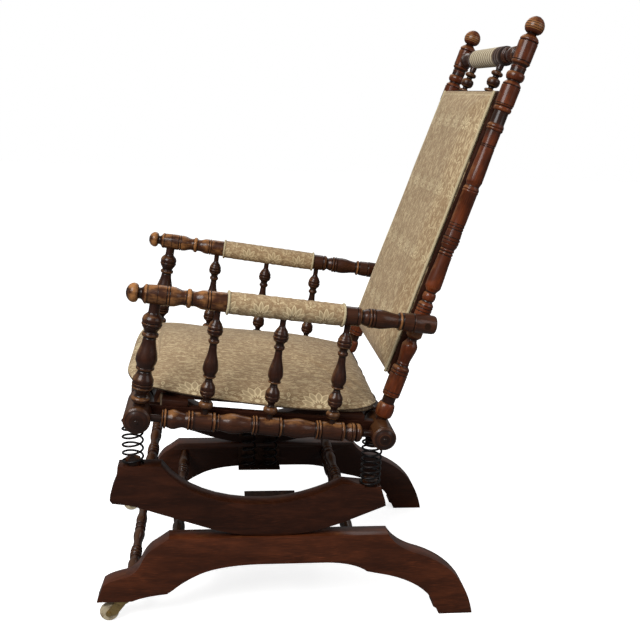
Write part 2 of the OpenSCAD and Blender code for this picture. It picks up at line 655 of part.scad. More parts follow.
module rocker() {
    color(walnut_dark)
    difference() {
        upright_board(rocker_outline, rocker_inner_y, rocker_t);
        for (p = rocker_stretcher_places)
            translate([p[0], rocker_inner_y - overrun, p[1]])
                rotate([-90, 0, 0])
                    cylinder(h = tenon_l + seat_gap + overrun,
                        r = rocker_stretcher_r * stretcher_tenon_share + socket_fit, $fn = turned_faces);
        translate([rear_spring_x, rocker_mid_y, rear_seat_z])
            cylinder(h = rocker_h, r = spring_cut_r, $fn = turned_faces);
        screw_holes(rocker_inner_y, upper_shelf_z + bracket_t - bracket_h / 2);
    }
}
module rocker_left() side(left) rocker();
module rocker_right() side(right) rocker();

module rocker_stretcher(i) {
    p = rocker_stretcher_places[i];
    stretcher(p[0], p[1], rocker_inner_y, rocker_stretcher_r);
}
module rocker_stretcher_front() rocker_stretcher(0);
module rocker_stretcher_rear() rocker_stretcher(1);

// A spring is one round wire: a straight foot, curls that climb at a steady rate, a straight tip
wire_sides = 6;
curl_rings = 8;
function spring_path(r, height, wire, curls) = concat(
    [[r, 0, 0], [r, 0, wire]],
    [for (i = [1:curls * curl_rings - 1])
        let (a = i * 360 / curl_rings, k = i / (curls * curl_rings))
        [r * cos(a), r * sin(a), wire + (height - wire * 2) * k]],
    [[r, 0, height - wire], [r, 0, height]]);
function unit(v) = v / norm(v);
function tangent(path, i) =
    i == 0 ? unit(path[1] - path[0]) :
    i == len(path) - 1 ? unit(path[i] - path[i - 1]) :
    unit(unit(path[i] - path[i - 1]) + unit(path[i + 1] - path[i]));
function wire_ring(path, i, r) =
    let (t = tangent(path, i), out = unit([path[i][0], path[i][1], 0]),
        u = unit(out - t * (out * t)), v = cross(t, u),
        before = i == 0 ? t : unit(path[i] - path[i - 1]), mitre = 1 / max(t * before, 0.5))
    [for (k = [0:wire_sides - 1])
        let (a = k * 360 / wire_sides)
        path[i] + u * r * cos(a) + v * r * sin(a) * mitre];

module spring(d, wire, height, curls) {
    path = spring_path((d - wire) / 2, height, wire, curls);
    points = [for (i = [0:len(path) - 1]) each wire_ring(path, i, wire / 2)];
    last = (len(path) - 1) * wire_sides;
    walls = [for (i = [0:len(path) - 2], k = [0:wire_sides - 1])
        let (a = i * wire_sides + k, b = i * wire_sides + (k + 1) % wire_sides)
        each [[a, a + wire_sides, b], [b, a + wire_sides, b + wire_sides]]];
    caps = [for (k = [1:wire_sides - 2]) each [[0, k, k + 1], [last, last + k + 1, last + k]]];
    polyhedron(points = points, faces = concat(walls, caps));
}
function least_gap(d, wire, height, curls) =
    let (path = spring_path((d - wire) / 2, height, wire, curls))
    min([for (i = [0:len(path) - 1], j = [i + 4:1:len(path) - 1]) norm(path[i] - path[j]) - wire]);

// Corner springs stand on the rockers and carry the dishes under the cross rails
function dish_z(rail_z) = rail_z - rail_flat_down - dish_t;
front_spring_h = dish_z(front_rail_z) - shoulder_z - seat_gap;
rear_spring_h = dish_z(rear_rail_z) - rear_seat_z - seat_gap;
spring_places = [[front_spring_x, shoulder_z], [rear_spring_x, rear_seat_z]];
dish_places = [[front_dish_x, front_spring_x, front_rail_z], [rear_dish_x, rear_spring_x, rear_rail_z]];

module corner_spring(s, x, z, height, curls) {
    color(iron)
    translate([x, s * rocker_mid_y, z])
        spring(corner_spring_d, corner_wire_d, height, curls);
}
module front_spring(s) corner_spring(s, front_spring_x, shoulder_z, front_spring_h, front_curls);
module rear_spring(s) corner_spring(s, rear_spring_x, rear_seat_z, rear_spring_h, rear_curls);
module corner_spring_front_left() front_spring(left);
module corner_spring_front_right() front_spring(right);
module corner_spring_rear_left() rear_spring(left);
module corner_spring_rear_right() rear_spring(right);

module spring_plugs() {
    color(walnut_dark)
    for (s = [left, right], p = spring_places)
        translate([p[0], s * rocker_mid_y, p[1]])
            cylinder(h = plug_h, r = plug_r, $fn = turned_faces);
}
module spring_dishes() {
    color(iron)
    for (s = [left, right], p = dish_places)
        translate([0, s * rocker_mid_y, dish_z(p[2])]) {
            translate([p[0], 0, 0])
                cylinder(h = dish_t, r = dish_r, $fn = turned_faces);
            translate([p[1], 0, -plug_h])
                cylinder(h = plug_h, r = plug_r, $fn = turned_faces);
        }
}

// Platform springs: two on each side between iron brackets on the inner faces
lower_shelf_z = lower_bracket_z + bracket_t;
upper_shelf_z = roll_z + upper_bracket_up - bracket_t;
platform_spring_h = upper_shelf_z - lower_shelf_z - seat_gap;
platform_spring_y = rocker_inner_y - bracket_t - seat_gap - platform_spring_d / 2;
bracket_hole_x = [-bracket_l / 2 + bracket_l / 8, 0, bracket_l / 2 - bracket_l / 8];
screw_head_r = screw_r * 1.9;
screw_head_t = screw_r;

// The bracket's upright stands on the face at y, and its shelf reaches inwards
module bracket(y, z, up) {
    color(iron)
    difference() {
        union() {
            translate([-bracket_l / 2 - contact_in_front, y - bracket_t, up > 0 ? z : z - bracket_h])
                cube([bracket_l, bracket_t, bracket_h]);
            translate([-bracket_l / 2 - contact_in_front, y - bracket_shelf_w, up > 0 ? z : z - bracket_t])
                cube([bracket_l, bracket_shelf_w, bracket_t]);
        }
        screw_holes(y, z + up * bracket_h / 2);
    }
}

// Bores for one bracket's screws, through the bracket and into the face at y
module screw_holes(y, z) {
    for (x = bracket_hole_x)
        translate([x - contact_in_front, y - bracket_t - overrun, z])
            rotate([-90, 0, 0])
                cylinder(h = bracket_t + overrun + screw_l + seat_gap, r = screw_r + socket_fit,
                    $fn = turned_faces);
}
module bracket_screws(y, z) {
    color(iron)
    for (s = [left, right], x = bracket_hole_x)
        side(s)
        translate([x - contact_in_front, y - bracket_t - screw_head_t, z])
        rotate([-90, 0, 0]) {
            cylinder(h = screw_head_t, r = screw_head_r, $fn = turned_faces);
            cylinder(h = screw_head_t + bracket_t + screw_l, r = screw_r, $fn = turned_faces);
        }
}
module lower_bracket_left() side(left) bracket(rail_inner_y, lower_bracket_z, 1);
module lower_bracket_right() side(right) bracket(rail_inner_y, lower_bracket_z, 1);
module lower_bracket_screws() bracket_screws(rail_inner_y, lower_bracket_z + bracket_h / 2);
module upper_bracket_left() side(left) bracket(rocker_inner_y, upper_shelf_z + bracket_t, -1);
module upper_bracket_right() side(right) bracket(rocker_inner_y, upper_shelf_z + bracket_t, -1);
module upper_bracket_screws() bracket_screws(rocker_inner_y, upper_shelf_z + bracket_t - bracket_h / 2);

module platform_springs(s) {
    color(iron)
    for (x = [-platform_spring_apart, platform_spring_apart])
        translate([x - contact_in_front, s * platform_spring_y, lower_shelf_z])
            spring(platform_spring_d, platform_wire_d, platform_spring_h, platform_curls);
}
module platform_springs_left() platform_springs(left);
module platform_springs_right() platform_springs(right);

// Back posts, as lines from their feet in the rear cross rail
post_dir = [sin(back_rake) * cos(post_splay), -sin(post_splay), cos(back_rake) * cos(post_splay)];
post_foot = [rear_rail_x - post_lead, post_foot_w / 2, rear_rail_z];
function post_at(l) = post_foot + post_dir * l;
top_rail_up = back_frame_up + back_frame_l;
crest_up = top_rail_up + crest_gap;
crest_l = crest_up / cos(post_splay);
post_l = crest_l + finial_l;

// Arm rails lie outside the back posts and touch them
arm_dir = [cos(arm_drop) * cos(arm_taper), -cos(arm_drop) * sin(arm_taper), -sin(arm_drop)];
post_share_at_arm = 0.86;
bolt_dir = unit(cross(post_dir, arm_dir));
arm_cross_l = arm_cross_up / post_dir[2];
arm_cross = post_at(arm_cross_l) + bolt_dir * (post_r * post_share_at_arm + arm_r + seat_gap);
function arm_at_x(x) = arm_cross + arm_dir * ((x - arm_cross[0]) / arm_dir[0]);
arm_end = arm_cross + arm_dir * arm_tail;
arm_start = arm_at_x(arm_post_lean - front_rail_x - arm_lead);
arm_l = norm(arm_end - arm_start);
arm_sleeve_l = arm_l * (arm_sleeve_shares[1] - arm_sleeve_shares[0]);
function plan_y(x) = arm_at_x(x)[1];

// Side rails lie under the arm rails, from cross rail to cross rail
seat_front = [-front_rail_x, plan_y(-front_rail_x), front_rail_z];
seat_rear = [rear_rail_x, plan_y(rear_rail_x), rear_rail_z];
seat_dir = unit(seat_rear - seat_front);
side_rail_l = norm(seat_rear - seat_front);
seat_tilt = atan((front_rail_z - rear_rail_z) / (front_rail_x + rear_rail_x));
function last(rows) = rows[len(rows) - 1][2] / 100;
post_tenon_r = arm_post_r * arm_post_shares[0][2] / 100;
post_top_r = arm_post_r * last(arm_post_shares);
spindle_foot_r = spindle_r * spindle_shares[0][2] / 100;
spindle_top_r = spindle_r * last(spindle_shares);
back_tenon_r = post_r * back_post_shares[0][2] / 100;
side_tenon_r = side_rail_r * side_rail_shares[0][2] / 100;
arm_post_top = arm_at_x(arm_post_lean - front_rail_x);
function spindle_foot(i) = seat_front + seat_dir * ((spindle_first + i * spindle_pitch) / seat_dir[0]);
function spindle_top(i) = arm_at_x(spindle_foot(i)[0] + spindle_lean);
spindle_foot_short = 8;
spindle_top_short = 5;
function spindle_l(i) = norm(spindle_top(i) - spindle_foot(i)) - spindle_foot_short - spindle_top_short;

// A socket for a tenon that points from p towards q, starting short of p
module socket(p, q, short, r) {
    along(p, q)
        translate([0, 0, short - seat_gap])
            cylinder(h = norm(q - p) / 2, r = r + socket_fit, $fn = turned_faces);
}

module arm_post() {
    color(walnut)
    along(seat_front, arm_post_top)
        translate([0, 0, tenon_short])
            turned(arm_post_shares, arm_post_shares[0][2],
                norm(arm_post_top - seat_front) - tenon_short - spindle_top_short, arm_post_r);
}
module arm_post_left() side(left) arm_post();
module arm_post_right() side(right) arm_post();

module arm_spindles() {
    color(walnut)
    for (i = [0:spindle_count - 1])
        along(spindle_foot(i), spindle_top(i))
            translate([0, 0, spindle_foot_short])
                turned(spindle_shares, spindle_shares[0][2], spindle_l(i), spindle_r);
}
module arm_spindles_left() side(left) arm_spindles();
module arm_spindles_right() side(right) arm_spindles();

bolt_head_r = arm_bolt_r * 1.8;
bolt_head_t = arm_bolt_r;
module arm_bolt(fit) {
    outer = arm_cross + bolt_dir * (arm_r + fit);
    inner = post_at(arm_cross_l) - bolt_dir * fit;
    along(outer, inner) {
        cylinder(h = bolt_head_t + fit, r = bolt_head_r + fit, $fn = turned_faces);
        cylinder(h = norm(inner - outer), r = arm_bolt_r + fit, $fn = turned_faces);
    }
}
module arm_bolts() {
    color(walnut_dark)
    for (s = [left, right])
        side(s)
            arm_bolt(0);
}

module arm_rail() {
    color(walnut)
    difference() {
        along(arm_start, arm_end)
            turned(arm_shares, 0, arm_l, arm_r);
        socket(arm_post_top, seat_front, spindle_top_short, post_top_r);
        for (i = [0:spindle_count - 1])
            socket(spindle_top(i), spindle_foot(i), spindle_top_short, spindle_top_r);
        arm_bolt(socket_fit);
    }
}
module arm_rail_left() side(left) arm_rail();
module arm_rail_right() side(right) arm_rail();

// Padded sleeves, with a rolled cord at each end
sleeve_cord_r = 2;
module sleeve(length, r, core_r) {
    rotate_extrude($fn = turned_faces)
        polygon(concat(
            [[core_r + socket_fit, 0]],
            [for (z = [sleeve_cord_r, length - sleeve_cord_r], a = [-90:30:90])
                [r + sleeve_cord_r * (cos(a) - 1), z + sleeve_cord_r * sin(a)]],
            [[core_r + socket_fit, length]]));
}
module arm_sleeve() {
    color(tapestry)
    difference() {
        along(arm_start + arm_dir * arm_l * arm_sleeve_shares[0], arm_end)
            sleeve(arm_sleeve_l, arm_sleeve_r, arm_r * arm_core_share);
        for (i = [0:spindle_count - 1])
            socket(spindle_top(i), spindle_foot(i), spindle_top_short, spindle_top_r);
    }
}
module arm_sleeve_left() side(left) arm_sleeve();
module arm_sleeve_right() side(right) arm_sleeve();

// Side rails, with sockets for the spindles
module side_rail() {
    color(walnut)
    difference() {
        along(seat_front, seat_rear)
            translate([0, 0, tenon_short])
                turned(side_rail_shares, side_rail_shares[0][2], side_rail_l - tenon_short * 2, side_rail_r);
        for (i = [0:spindle_count - 1])
            socket(spindle_foot(i), spindle_top(i), spindle_foot_short, spindle_foot_r);
    }
}
module side_rail_left() side(left) side_rail();
module side_rail_right() side(right) side_rail();

// Cross rails, with sockets for all that is tenoned into them and flats for the spring dishes
module cross_rail(x, z, r, length, dish_x) {
    difference() {
        along([x, -length / 2, z], [x, length / 2, z])
            turned_twice(cross_rail_shares, 0, length, r);
        for (s = [left, right])
            translate([dish_x, s * rocker_mid_y, z - rail_flat_down - r * 2])
                cylinder(h = r * 2, r = dish_r + seat_gap, $fn = turned_faces);
        children();
    }
}
module front_cross_rail() {
    color(walnut)
    cross_rail(-front_rail_x, front_rail_z, front_rail_r, front_rail_l, front_dish_x) {
        for (s = [left, right])
            side(s) {
                socket(seat_front, arm_post_top, tenon_short, post_tenon_r);
                socket(seat_front, seat_rear, tenon_short, side_tenon_r);
            }
    }
}
module rear_cross_rail() {
    color(walnut)
    cross_rail(rear_rail_x, rear_rail_z, rear_rail_r, rear_rail_l, rear_dish_x) {
        for (s = [left, right])
            side(s) {
                socket(post_foot, post_at(post_l), tenon_short, back_tenon_r);
                socket(seat_rear, seat_front, tenon_short, side_tenon_r);
            }
    }
}

// The seat's own frame of reference: x runs back from the front cross rail, z stands off the rails
module in_seat() {
    translate([-front_rail_x, 0, front_rail_z])
        rotate([0, seat_tilt, 0])
            children();
}
seat_run = norm([front_rail_x + rear_rail_x, front_rail_z - rear_rail_z]);
board_y = plan_y(-front_rail_x) - (side_rail_r + seat_gap) / cos(arm_taper) - seat_board_t;

module seat_board() {
    color(walnut_dark)
    difference() {
        in_seat()
            translate([0, board_y + seat_board_t, -seat_board_down])
                rotate([0, 0, -arm_taper])
                    translate([0, -seat_board_t, 0])
                        cube([seat_run, seat_board_t, seat_board_up + seat_board_down]);
        for (p = [[-front_rail_x, front_rail_z, front_rail_r], [rear_rail_x, rear_rail_z, rear_rail_r]])
            translate([p[0], 0, p[1]])
                rotate([-90, 0, 0])
                    cylinder(h = front_rail_l, r = p[2] + socket_fit, $fn = turned_faces);
        translate([rear_rail_x, 0, rear_rail_z - rear_rail_r * 2])
            cube([seat_run, front_rail_l, rear_rail_r * 4]);
    }
}
module seat_board_left() side(left) seat_board();
module seat_board_right() side(right) seat_board();

seat_block_places = [front_rail_r + seat_block_l / 4, seat_run - rear_rail_r - seat_block_l * 1.25];
function board_outer(x) = board_y + seat_board_t - x * tan(arm_taper);
module seat_blocks() {
    color(walnut_dark)
    in_seat()
    for (s = [left, right], x = seat_block_places)
        side(s)
            translate([x, board_outer(x), seat_board_up])
                rotate([0, 0, -arm_taper])
                    translate([0, -seat_block_w, 0])
                        cube([seat_block_l, seat_block_w, seat_block_h]);
}

// Seat frame: two long boards between a front and a rear one
frame_z = seat_board_up + seat_block_h;
frame_front = front_rail_r + seat_gap;
frame_l = seat_run - front_rail_r - seat_block_l / 2;
frame_margin = 5;
function cushion_half(x) =
    cushion_front_half + (cushion_rear_half - cushion_front_half) * (x + cushion_lead) / cushion_l;
function frame_half(x) = cushion_half(x) - frame_margin;
frame_rear = frame_front + frame_l;
frame_corner = frame_margin * 4;
// Corners of the frame's right side, as place and how far each draws in
frame_ends = [
    [frame_front, frame_corner * 4.6], [frame_front + frame_corner * 0.6, frame_corner * 1.5],
    [frame_front + frame_corner * 2.2, 0], [frame_rear - frame_corner, 0], [frame_rear, frame_corner]
];
module seat_frame() {
    inner = [frame_front + seat_frame_w, frame_rear - seat_frame_w];
    color(walnut_dark)
    in_seat()
    translate([0, 0, frame_z])
        linear_extrude(seat_frame_t)
            difference() {
                polygon([
                    for (s = [right, left], i = [0:4])
                        let (e = s > 0 ? i : 4 - i)
                        [frame_ends[e][0], s * (frame_half(frame_ends[e][0]) - frame_ends[e][1])]
                ]);
                polygon([
                    for (s = [right, left])
                        for (x = s > 0 ? inner : [inner[1], inner[0]])
                            [x, s * (frame_half(x) - seat_frame_w)]
                ]);
            }
}

// Webbing straps under the seat frame: four run back and four run across below them
strap_inset = 6;
strap_count = 4;
strap_side_share = 0.84;
module seat_webbing() {
    span = frame_rear - frame_front - strap_inset * 2;
    reach = frame_half(frame_rear) * 2 * strap_side_share - strap_w;
    color(jute)
    in_seat() {
        for (i = [0:strap_count - 1])
            translate([frame_front + strap_inset, i * reach / (strap_count - 1) - (reach + strap_w) / 2,
                frame_z - strap_t])
                cube([span, strap_w, strap_t]);
        for (i = [0:strap_count - 1])
            translate([frame_front + strap_inset + (i + 1) * (span - strap_w) / (strap_count + 1),
                strap_inset - frame_half(frame_rear), frame_z - strap_t * 2])
                cube([strap_w, (frame_half(frame_rear) - strap_inset) * 2, strap_t]);
    }
}

// Cushion: the stuffing fills the seat frame down to the webbing, the cover is drawn down over the
// frame's sides, and a roll hangs in front of the front cross rail
cushion_z = frame_z + seat_frame_t + seat_gap;
cushion_mid = cushion_l / 2 - cushion_lead;
cushion_end = cushion_l - cushion_lead;
ring_points = 60;
corner_power = 0.3;
edge_rise = 4;
side_curve = 1.75;
front_curve = 8;
rear_curve = 9;
top_soft = 0.5;
stuffing_front = frame_front + seat_frame_w + seat_gap;
stuffing_rear = frame_rear - seat_frame_w - seat_gap;
stuffing_side = 1 - (seat_frame_w + frame_margin + seat_gap * 2) / cushion_rear_half;
// Depth of the cushion's underside below the seat frame's top, from the roll's lip to the frame
roll_depths = [
    [-cushion_lead, cushion_roll], [-front_rail_r, cushion_roll], [-front_rail_r * 0.62, cushion_roll * 0.7],
    [front_rail_r * 0.66, cushion_roll * 0.66], [frame_front - seat_gap * 4, 0]
];
// Rings of the underside, as front end, rear end, share of the half width, and depth
under_rings = [
    [stuffing_front, stuffing_rear, stuffing_side, seat_frame_t],
    [stuffing_front, stuffing_rear, stuffing_side, 0],
    [frame_front - seat_gap * 4, cushion_end - 8, 0.95, 0],
    [front_rail_r * 0.66, cushion_end - 6, 0.96, 0],
    [-front_rail_r * 0.62, cushion_end - 4, 0.972, 0],
    [-front_rail_r, cushion_end - 2, 0.984, 0],
    [-cushion_lead, cushion_end, 1, -edge_rise]
];
top_shares = [0.985, 0.96, 0.92, 0.86, 0.76, 0.62, 0.44, 0.22];
function box_round(c) = (c < 0 ? -1 : 1) * pow(abs(c), corner_power);
// A point of a rounded plan at an angle, between two ends and within a share of the half width
function plan_point(a, front, rear, wide) =
    let (x = (front + rear) / 2 - box_round(cos(a)) * (rear - front) / 2)
    [x, box_round(sin(a)) * wide * cushion_half(x)];
roll_start = cushion_mid / 3;
function edge_z(x) = cushion_z + edge_rise
    - (cushion_roll - edge_rise) * pow(max(0, (roll_start - x) / (roll_start + cushion_lead)), 2);
function crown_z_at(x, y) =
    let (u = (x - cushion_mid) / (cushion_l / 2), v = min(1, abs(y) / cushion_half(x)))
    edge_z(x) + cushion_crown * (1 - pow(v, side_curve))
        * pow(max(0, 1 - pow(abs(u), u < 0 ? front_curve : rear_curve)), top_soft);
function under_z(x, depth) = cushion_z - depth - (depth > 0 ? 0 : lookup(x, roll_depths));
cushion_points = concat(
    [[(stuffing_front + stuffing_rear) / 2, 0, cushion_z - seat_frame_t]],
    [for (r = under_rings, i = [0:ring_points - 1])
        let (p = plan_point(i * 360 / ring_points, r[0], r[1], r[2]))
        [p[0], p[1], r[3] < 0 ? edge_z(p[0]) : under_z(p[0], r[3])]],
    [for (k = top_shares, i = [0:ring_points - 1])
        let (h = k * cushion_l / 2,
            p = plan_point(i * 360 / ring_points, cushion_mid - h, cushion_mid + h, k))
        [p[0], p[1], crown_z_at(p[0], p[1])]],
    [[cushion_mid, 0, crown_z_at(cushion_mid, 0)]]);
module seat_cushion() {
    rings = len(under_rings) + len(top_shares);
    top = rings * ring_points + 1;
    walls = [for (j = [0:rings - 2], i = [0:ring_points - 1])
        let (a = 1 + j * ring_points + i, b = 1 + j * ring_points + (i + 1) % ring_points)
        each [[a, b, a + ring_points], [b, b + ring_points, a + ring_points]]];
    caps = [for (i = [0:ring_points - 1])
        let (k = (i + 1) % ring_points)
        each [[0, 1 + k, 1 + i], [top, top - ring_points + i, top - ring_points + k]]];
    color(tapestry)
    in_seat()
        polyhedron(points = cushion_points, faces = concat(walls, caps));
}

module back_post() {
    color(walnut)
    difference() {
        along(post_foot, post_at(post_l))
            translate([0, 0, tenon_short])
                turned(back_post_shares, back_post_shares[0][2], post_l - tenon_short, post_r);
        arm_bolt(socket_fit);
        translate([post_at(crest_l)[0], 0, post_at(crest_l)[2]])
            rotate([-90, 0, 0])
                cylinder(h = crest_half + seat_gap, r = crest_r * crest_shares[0][2] / 100 + socket_fit,
                    $fn = turned_faces);
    }
}
module back_post_left() side(left) back_post();
module back_post_right() side(right) back_post();

// The back's own frame of reference: z runs up the back and x stands behind it
module in_back() {
    translate([rear_rail_x - post_lead, 0, rear_rail_z])
        rotate([0, back_rake, 0])
            children();
}
crest_short = 8;
crest_half = post_at(crest_l)[1] - crest_short;
function post_inner(up) = post_foot_w / 2 - up * tan(post_splay) - (post_r + seat_gap) / cos(post_splay);

module crest_rail() {
    color(walnut)
    difference() {
        in_back()
            along([0, -crest_half, crest_up], [0, crest_half, crest_up])
                turned_twice(crest_shares, crest_shares[0][2], crest_half * 2, crest_r);
        crest_spindle_holes();
    }
}
module crest_sleeve() {
    color(tapestry)
    difference() {
        in_back()
            along([0, -crest_sleeve_l / 2, crest_up], [0, crest_sleeve_l / 2, crest_up])
                sleeve(crest_sleeve_l, crest_sleeve_r, crest_r * crest_core_share);
        crest_spindle_holes();
    }
}
crest_tenon_l = 8;
crest_spindle_x = back_frame_t / 2 - back_frame_lead;
module crest_spindle_holes() {
    in_back()
    for (s = [left, right])
        along([crest_spindle_x, s * crest_spindle_apart / 2, top_rail_up - crest_tenon_l - seat_gap],
            [0, s * crest_spindle_apart / 2, crest_up])
            cylinder(h = crest_up - top_rail_up + crest_tenon_l,
                r = crest_spindle_r * crest_spindle_shares[0][2] / 100 + socket_fit, $fn = turned_faces);
}
module crest_spindles() {
    color(walnut)
    in_back()
    for (s = [left, right])
        along([crest_spindle_x, s * crest_spindle_apart / 2, top_rail_up - crest_tenon_l],
            [0, s * crest_spindle_apart / 2, crest_up])
            turned(crest_spindle_shares, crest_spindle_shares[0][2], crest_up - top_rail_up, crest_spindle_r);
}

// Back frame: two stiles that follow the posts, and a top and a bottom rail between them
module back_frame() {
    inner = back_frame_w / cos(post_splay);
    color(walnut_dark)
    difference() {
        in_back()
        translate([-back_frame_lead, 0, 0]) {
            for (s = [left, right])
                side(s)
                    translate([back_frame_t, 0, 0])
                        rotate([0, -90, 0])
                            linear_extrude(back_frame_t)
                                polygon([
                                    [back_frame_up, post_inner(back_frame_up)],
                                    [back_frame_up, post_inner(back_frame_up) - inner],
                                    [top_rail_up, post_inner(top_rail_up) - inner],
                                    [top_rail_up, post_inner(top_rail_up)]]);
            for (up = [back_frame_up, top_rail_up - back_frame_w])
                translate([0, inner - post_inner(up), up])
                    cube([back_frame_t, (post_inner(up) - inner / 2) * 2 - inner, back_frame_w]);
        }
        crest_spindle_holes();
    }
}

// Back panel: a padded slab that fills the back frame and swells in front of it
panel_up = back_frame_up + back_frame_w + seat_gap;
panel_l = back_frame_l - back_frame_w * 2 - seat_gap * 2;
panel_rows = 20;
panel_cols = 12;
panel_back_share = 0.85;
panel_edge_share = 0.3;
function panel_half(up) = post_inner(up) - back_frame_w / cos(post_splay) - seat_gap;
// The crown rises from the edge and is nearly level in the middle
function panel_rise(u, v) = pow((1 - pow(abs(u * 2 - 1), 6)) * (1 - pow(abs(v * 2 - 1), 8)), 0.5);
function panel_front(u, v) =
    -back_frame_lead - panel_crown * (panel_edge_share + (1 - panel_edge_share) * panel_rise(u, v));
function panel_point(g, x) =
    let (up = panel_up + g[1] * panel_l)
    [x, (g[0] * 2 - 1) * panel_half(up), up];
panel_back_x = back_frame_t * panel_back_share - back_frame_lead;
panel_grid = [for (j = [0:panel_rows], i = [0:panel_cols]) [i / panel_cols, j / panel_rows]];
module back_panel() {
    n = (panel_rows + 1) * (panel_cols + 1);
    row = panel_cols + 1;
    front = [for (g = panel_grid) panel_point(g, panel_front(g[0], g[1]))];
    back = [for (g = panel_grid) panel_point(g, panel_back_x)];
    faces = [for (j = [0:panel_rows - 1], i = [0:panel_cols - 1])
        let (a = j * row + i, b = a + 1, c = a + row, d = c + 1)
        each [[a, b, c], [b, d, c], [n + a, n + c, n + b], [n + b, n + c, n + d]]];
    ends = [for (i = [0:panel_cols - 1])
        let (a = i, b = i + 1, c = panel_rows * row + i, d = c + 1)
        each [[a, n + a, b], [b, n + a, n + b], [c, d, n + c], [d, n + d, n + c]]];
    sides = [for (j = [0:panel_rows - 1])
        let (a = j * row, b = a + row, c = j * row + panel_cols, d = c + row)
        each [[a, b, n + a], [b, n + b, n + a], [c, n + c, d], [d, n + c, n + d]]];
    color(tapestry)
    in_back()
        polyhedron(points = concat(front, back), faces = concat(faces, ends, sides));
}

echo(front_spring_gap = least_gap(corner_spring_d, corner_wire_d, front_spring_h, front_curls));
echo(rear_spring_gap = least_gap(corner_spring_d, corner_wire_d, rear_spring_h, rear_curls));
echo(platform_spring_gap = least_gap(platform_spring_d, platform_wire_d, platform_spring_h, platform_curls));

base_rail_left();
base_rail_right();
base_stretcher_front();
base_stretcher_middle();
base_stretcher_rear();
caster_socket_left();
caster_socket_right();
caster_fork_left();
caster_fork_right();
caster_axle_left();
caster_axle_right();
caster_wheel_left();
caster_wheel_right();
lower_bracket_left();
lower_bracket_right();
lower_bracket_screws();
platform_springs_left();
platform_springs_right();
upper_bracket_left();
upper_bracket_right();
upper_bracket_screws();
rocker_left();
rocker_right();
rocker_stretcher_front();
rocker_stretcher_rear();
spring_plugs();
corner_spring_front_left();
corner_spring_front_right();
corner_spring_rear_left();
corner_spring_rear_right();
spring_dishes();
front_cross_rail();
rear_cross_rail();
side_rail_left();
side_rail_right();
seat_board_left();
seat_board_right();
seat_blocks();
seat_frame();
seat_webbing();
seat_cushion();
arm_post_left();
arm_post_right();
arm_spindles_left();
arm_spindles_right();
arm_rail_left();
arm_rail_right();
arm_sleeve_left();
arm_sleeve_right();
arm_bolts();
back_post_left();
back_post_right();
crest_rail();
crest_sleeve();
crest_spindles();
back_frame();
back_panel();
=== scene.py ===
import json
import math

import bmesh
import bpy
import numpy as np
from mathutils import Matrix, Vector

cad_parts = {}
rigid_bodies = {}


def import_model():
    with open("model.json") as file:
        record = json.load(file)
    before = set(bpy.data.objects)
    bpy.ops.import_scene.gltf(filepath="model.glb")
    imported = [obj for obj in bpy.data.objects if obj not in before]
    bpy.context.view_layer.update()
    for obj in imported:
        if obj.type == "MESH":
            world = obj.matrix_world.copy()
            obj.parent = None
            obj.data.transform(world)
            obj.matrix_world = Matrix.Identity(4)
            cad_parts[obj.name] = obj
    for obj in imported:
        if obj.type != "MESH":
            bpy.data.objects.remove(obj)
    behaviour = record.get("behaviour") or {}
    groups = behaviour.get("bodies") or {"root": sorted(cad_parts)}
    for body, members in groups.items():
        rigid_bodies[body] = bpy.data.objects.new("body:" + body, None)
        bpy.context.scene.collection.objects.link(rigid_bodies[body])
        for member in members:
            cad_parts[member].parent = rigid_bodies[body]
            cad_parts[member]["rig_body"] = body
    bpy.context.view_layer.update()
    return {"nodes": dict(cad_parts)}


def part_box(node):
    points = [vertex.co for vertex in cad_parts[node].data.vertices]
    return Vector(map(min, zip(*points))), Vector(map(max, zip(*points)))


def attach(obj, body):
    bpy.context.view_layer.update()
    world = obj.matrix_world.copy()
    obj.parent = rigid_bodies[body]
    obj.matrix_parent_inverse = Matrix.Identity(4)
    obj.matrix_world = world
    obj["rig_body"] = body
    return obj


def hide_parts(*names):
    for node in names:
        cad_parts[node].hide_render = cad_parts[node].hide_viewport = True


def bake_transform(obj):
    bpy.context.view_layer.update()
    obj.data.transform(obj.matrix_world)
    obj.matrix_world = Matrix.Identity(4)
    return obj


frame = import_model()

bl_info = {
    "name": "Platform rocker dresser",
    "version": (1, 0, 0),
    "blender": (4, 5, 0),
    "location": "3D View > Sidebar > Rocker",
    "description": "Finishes the surfaces of a turned platform rocker and sets its stage",
    "category": "Object",
}

NODES = frame["nodes"]

# Points in a ring of the cushion's cover, and the number of rings under the ring at its edge
CUSHION_AROUND, CUSHION_RIM = 300, 11
# The cushion's front and rear edges in the seat's axes, and half its length and width before it is tapered
CUSHION_FRONT, CUSHION_REAR = -0.034, 0.417
CUSHION_MIDDLE = (CUSHION_FRONT + CUSHION_REAR) / 2
PLAN_HALF_L, PLAN_HALF_W = 0.2255, 0.215
# Thickness of the corner springs' wire and of the platform springs' wire
CORNER_WIRE, PLATFORM_WIRE = 0.0038, 0.004
# Radius of an arm's sleeve, and the length of the crest rail that one turn of its cord covers
SLEEVE_R, WINDING_PITCH = 0.0185, 0.0125
# Spacing of the threads of the cover and of the webbing, and the length of a stitch
THREAD, JUTE_THREAD, STITCH = 0.0011, 0.0034, 0.0042
# Height of a slice in which a panel's half width is measured
PANEL_SLICE = 0.03
# The photo's camera: its place in metres, and its pitch, yaw and roll in degrees
CAMERA_PLACE, CAMERA_TURN = (-0.1678, -1.5834, 0.9289), (14.82, 7.48, -2.56)


def both(name):
    """A node's two names, on the left and on the right."""
    return name + "_left", name + "_right"


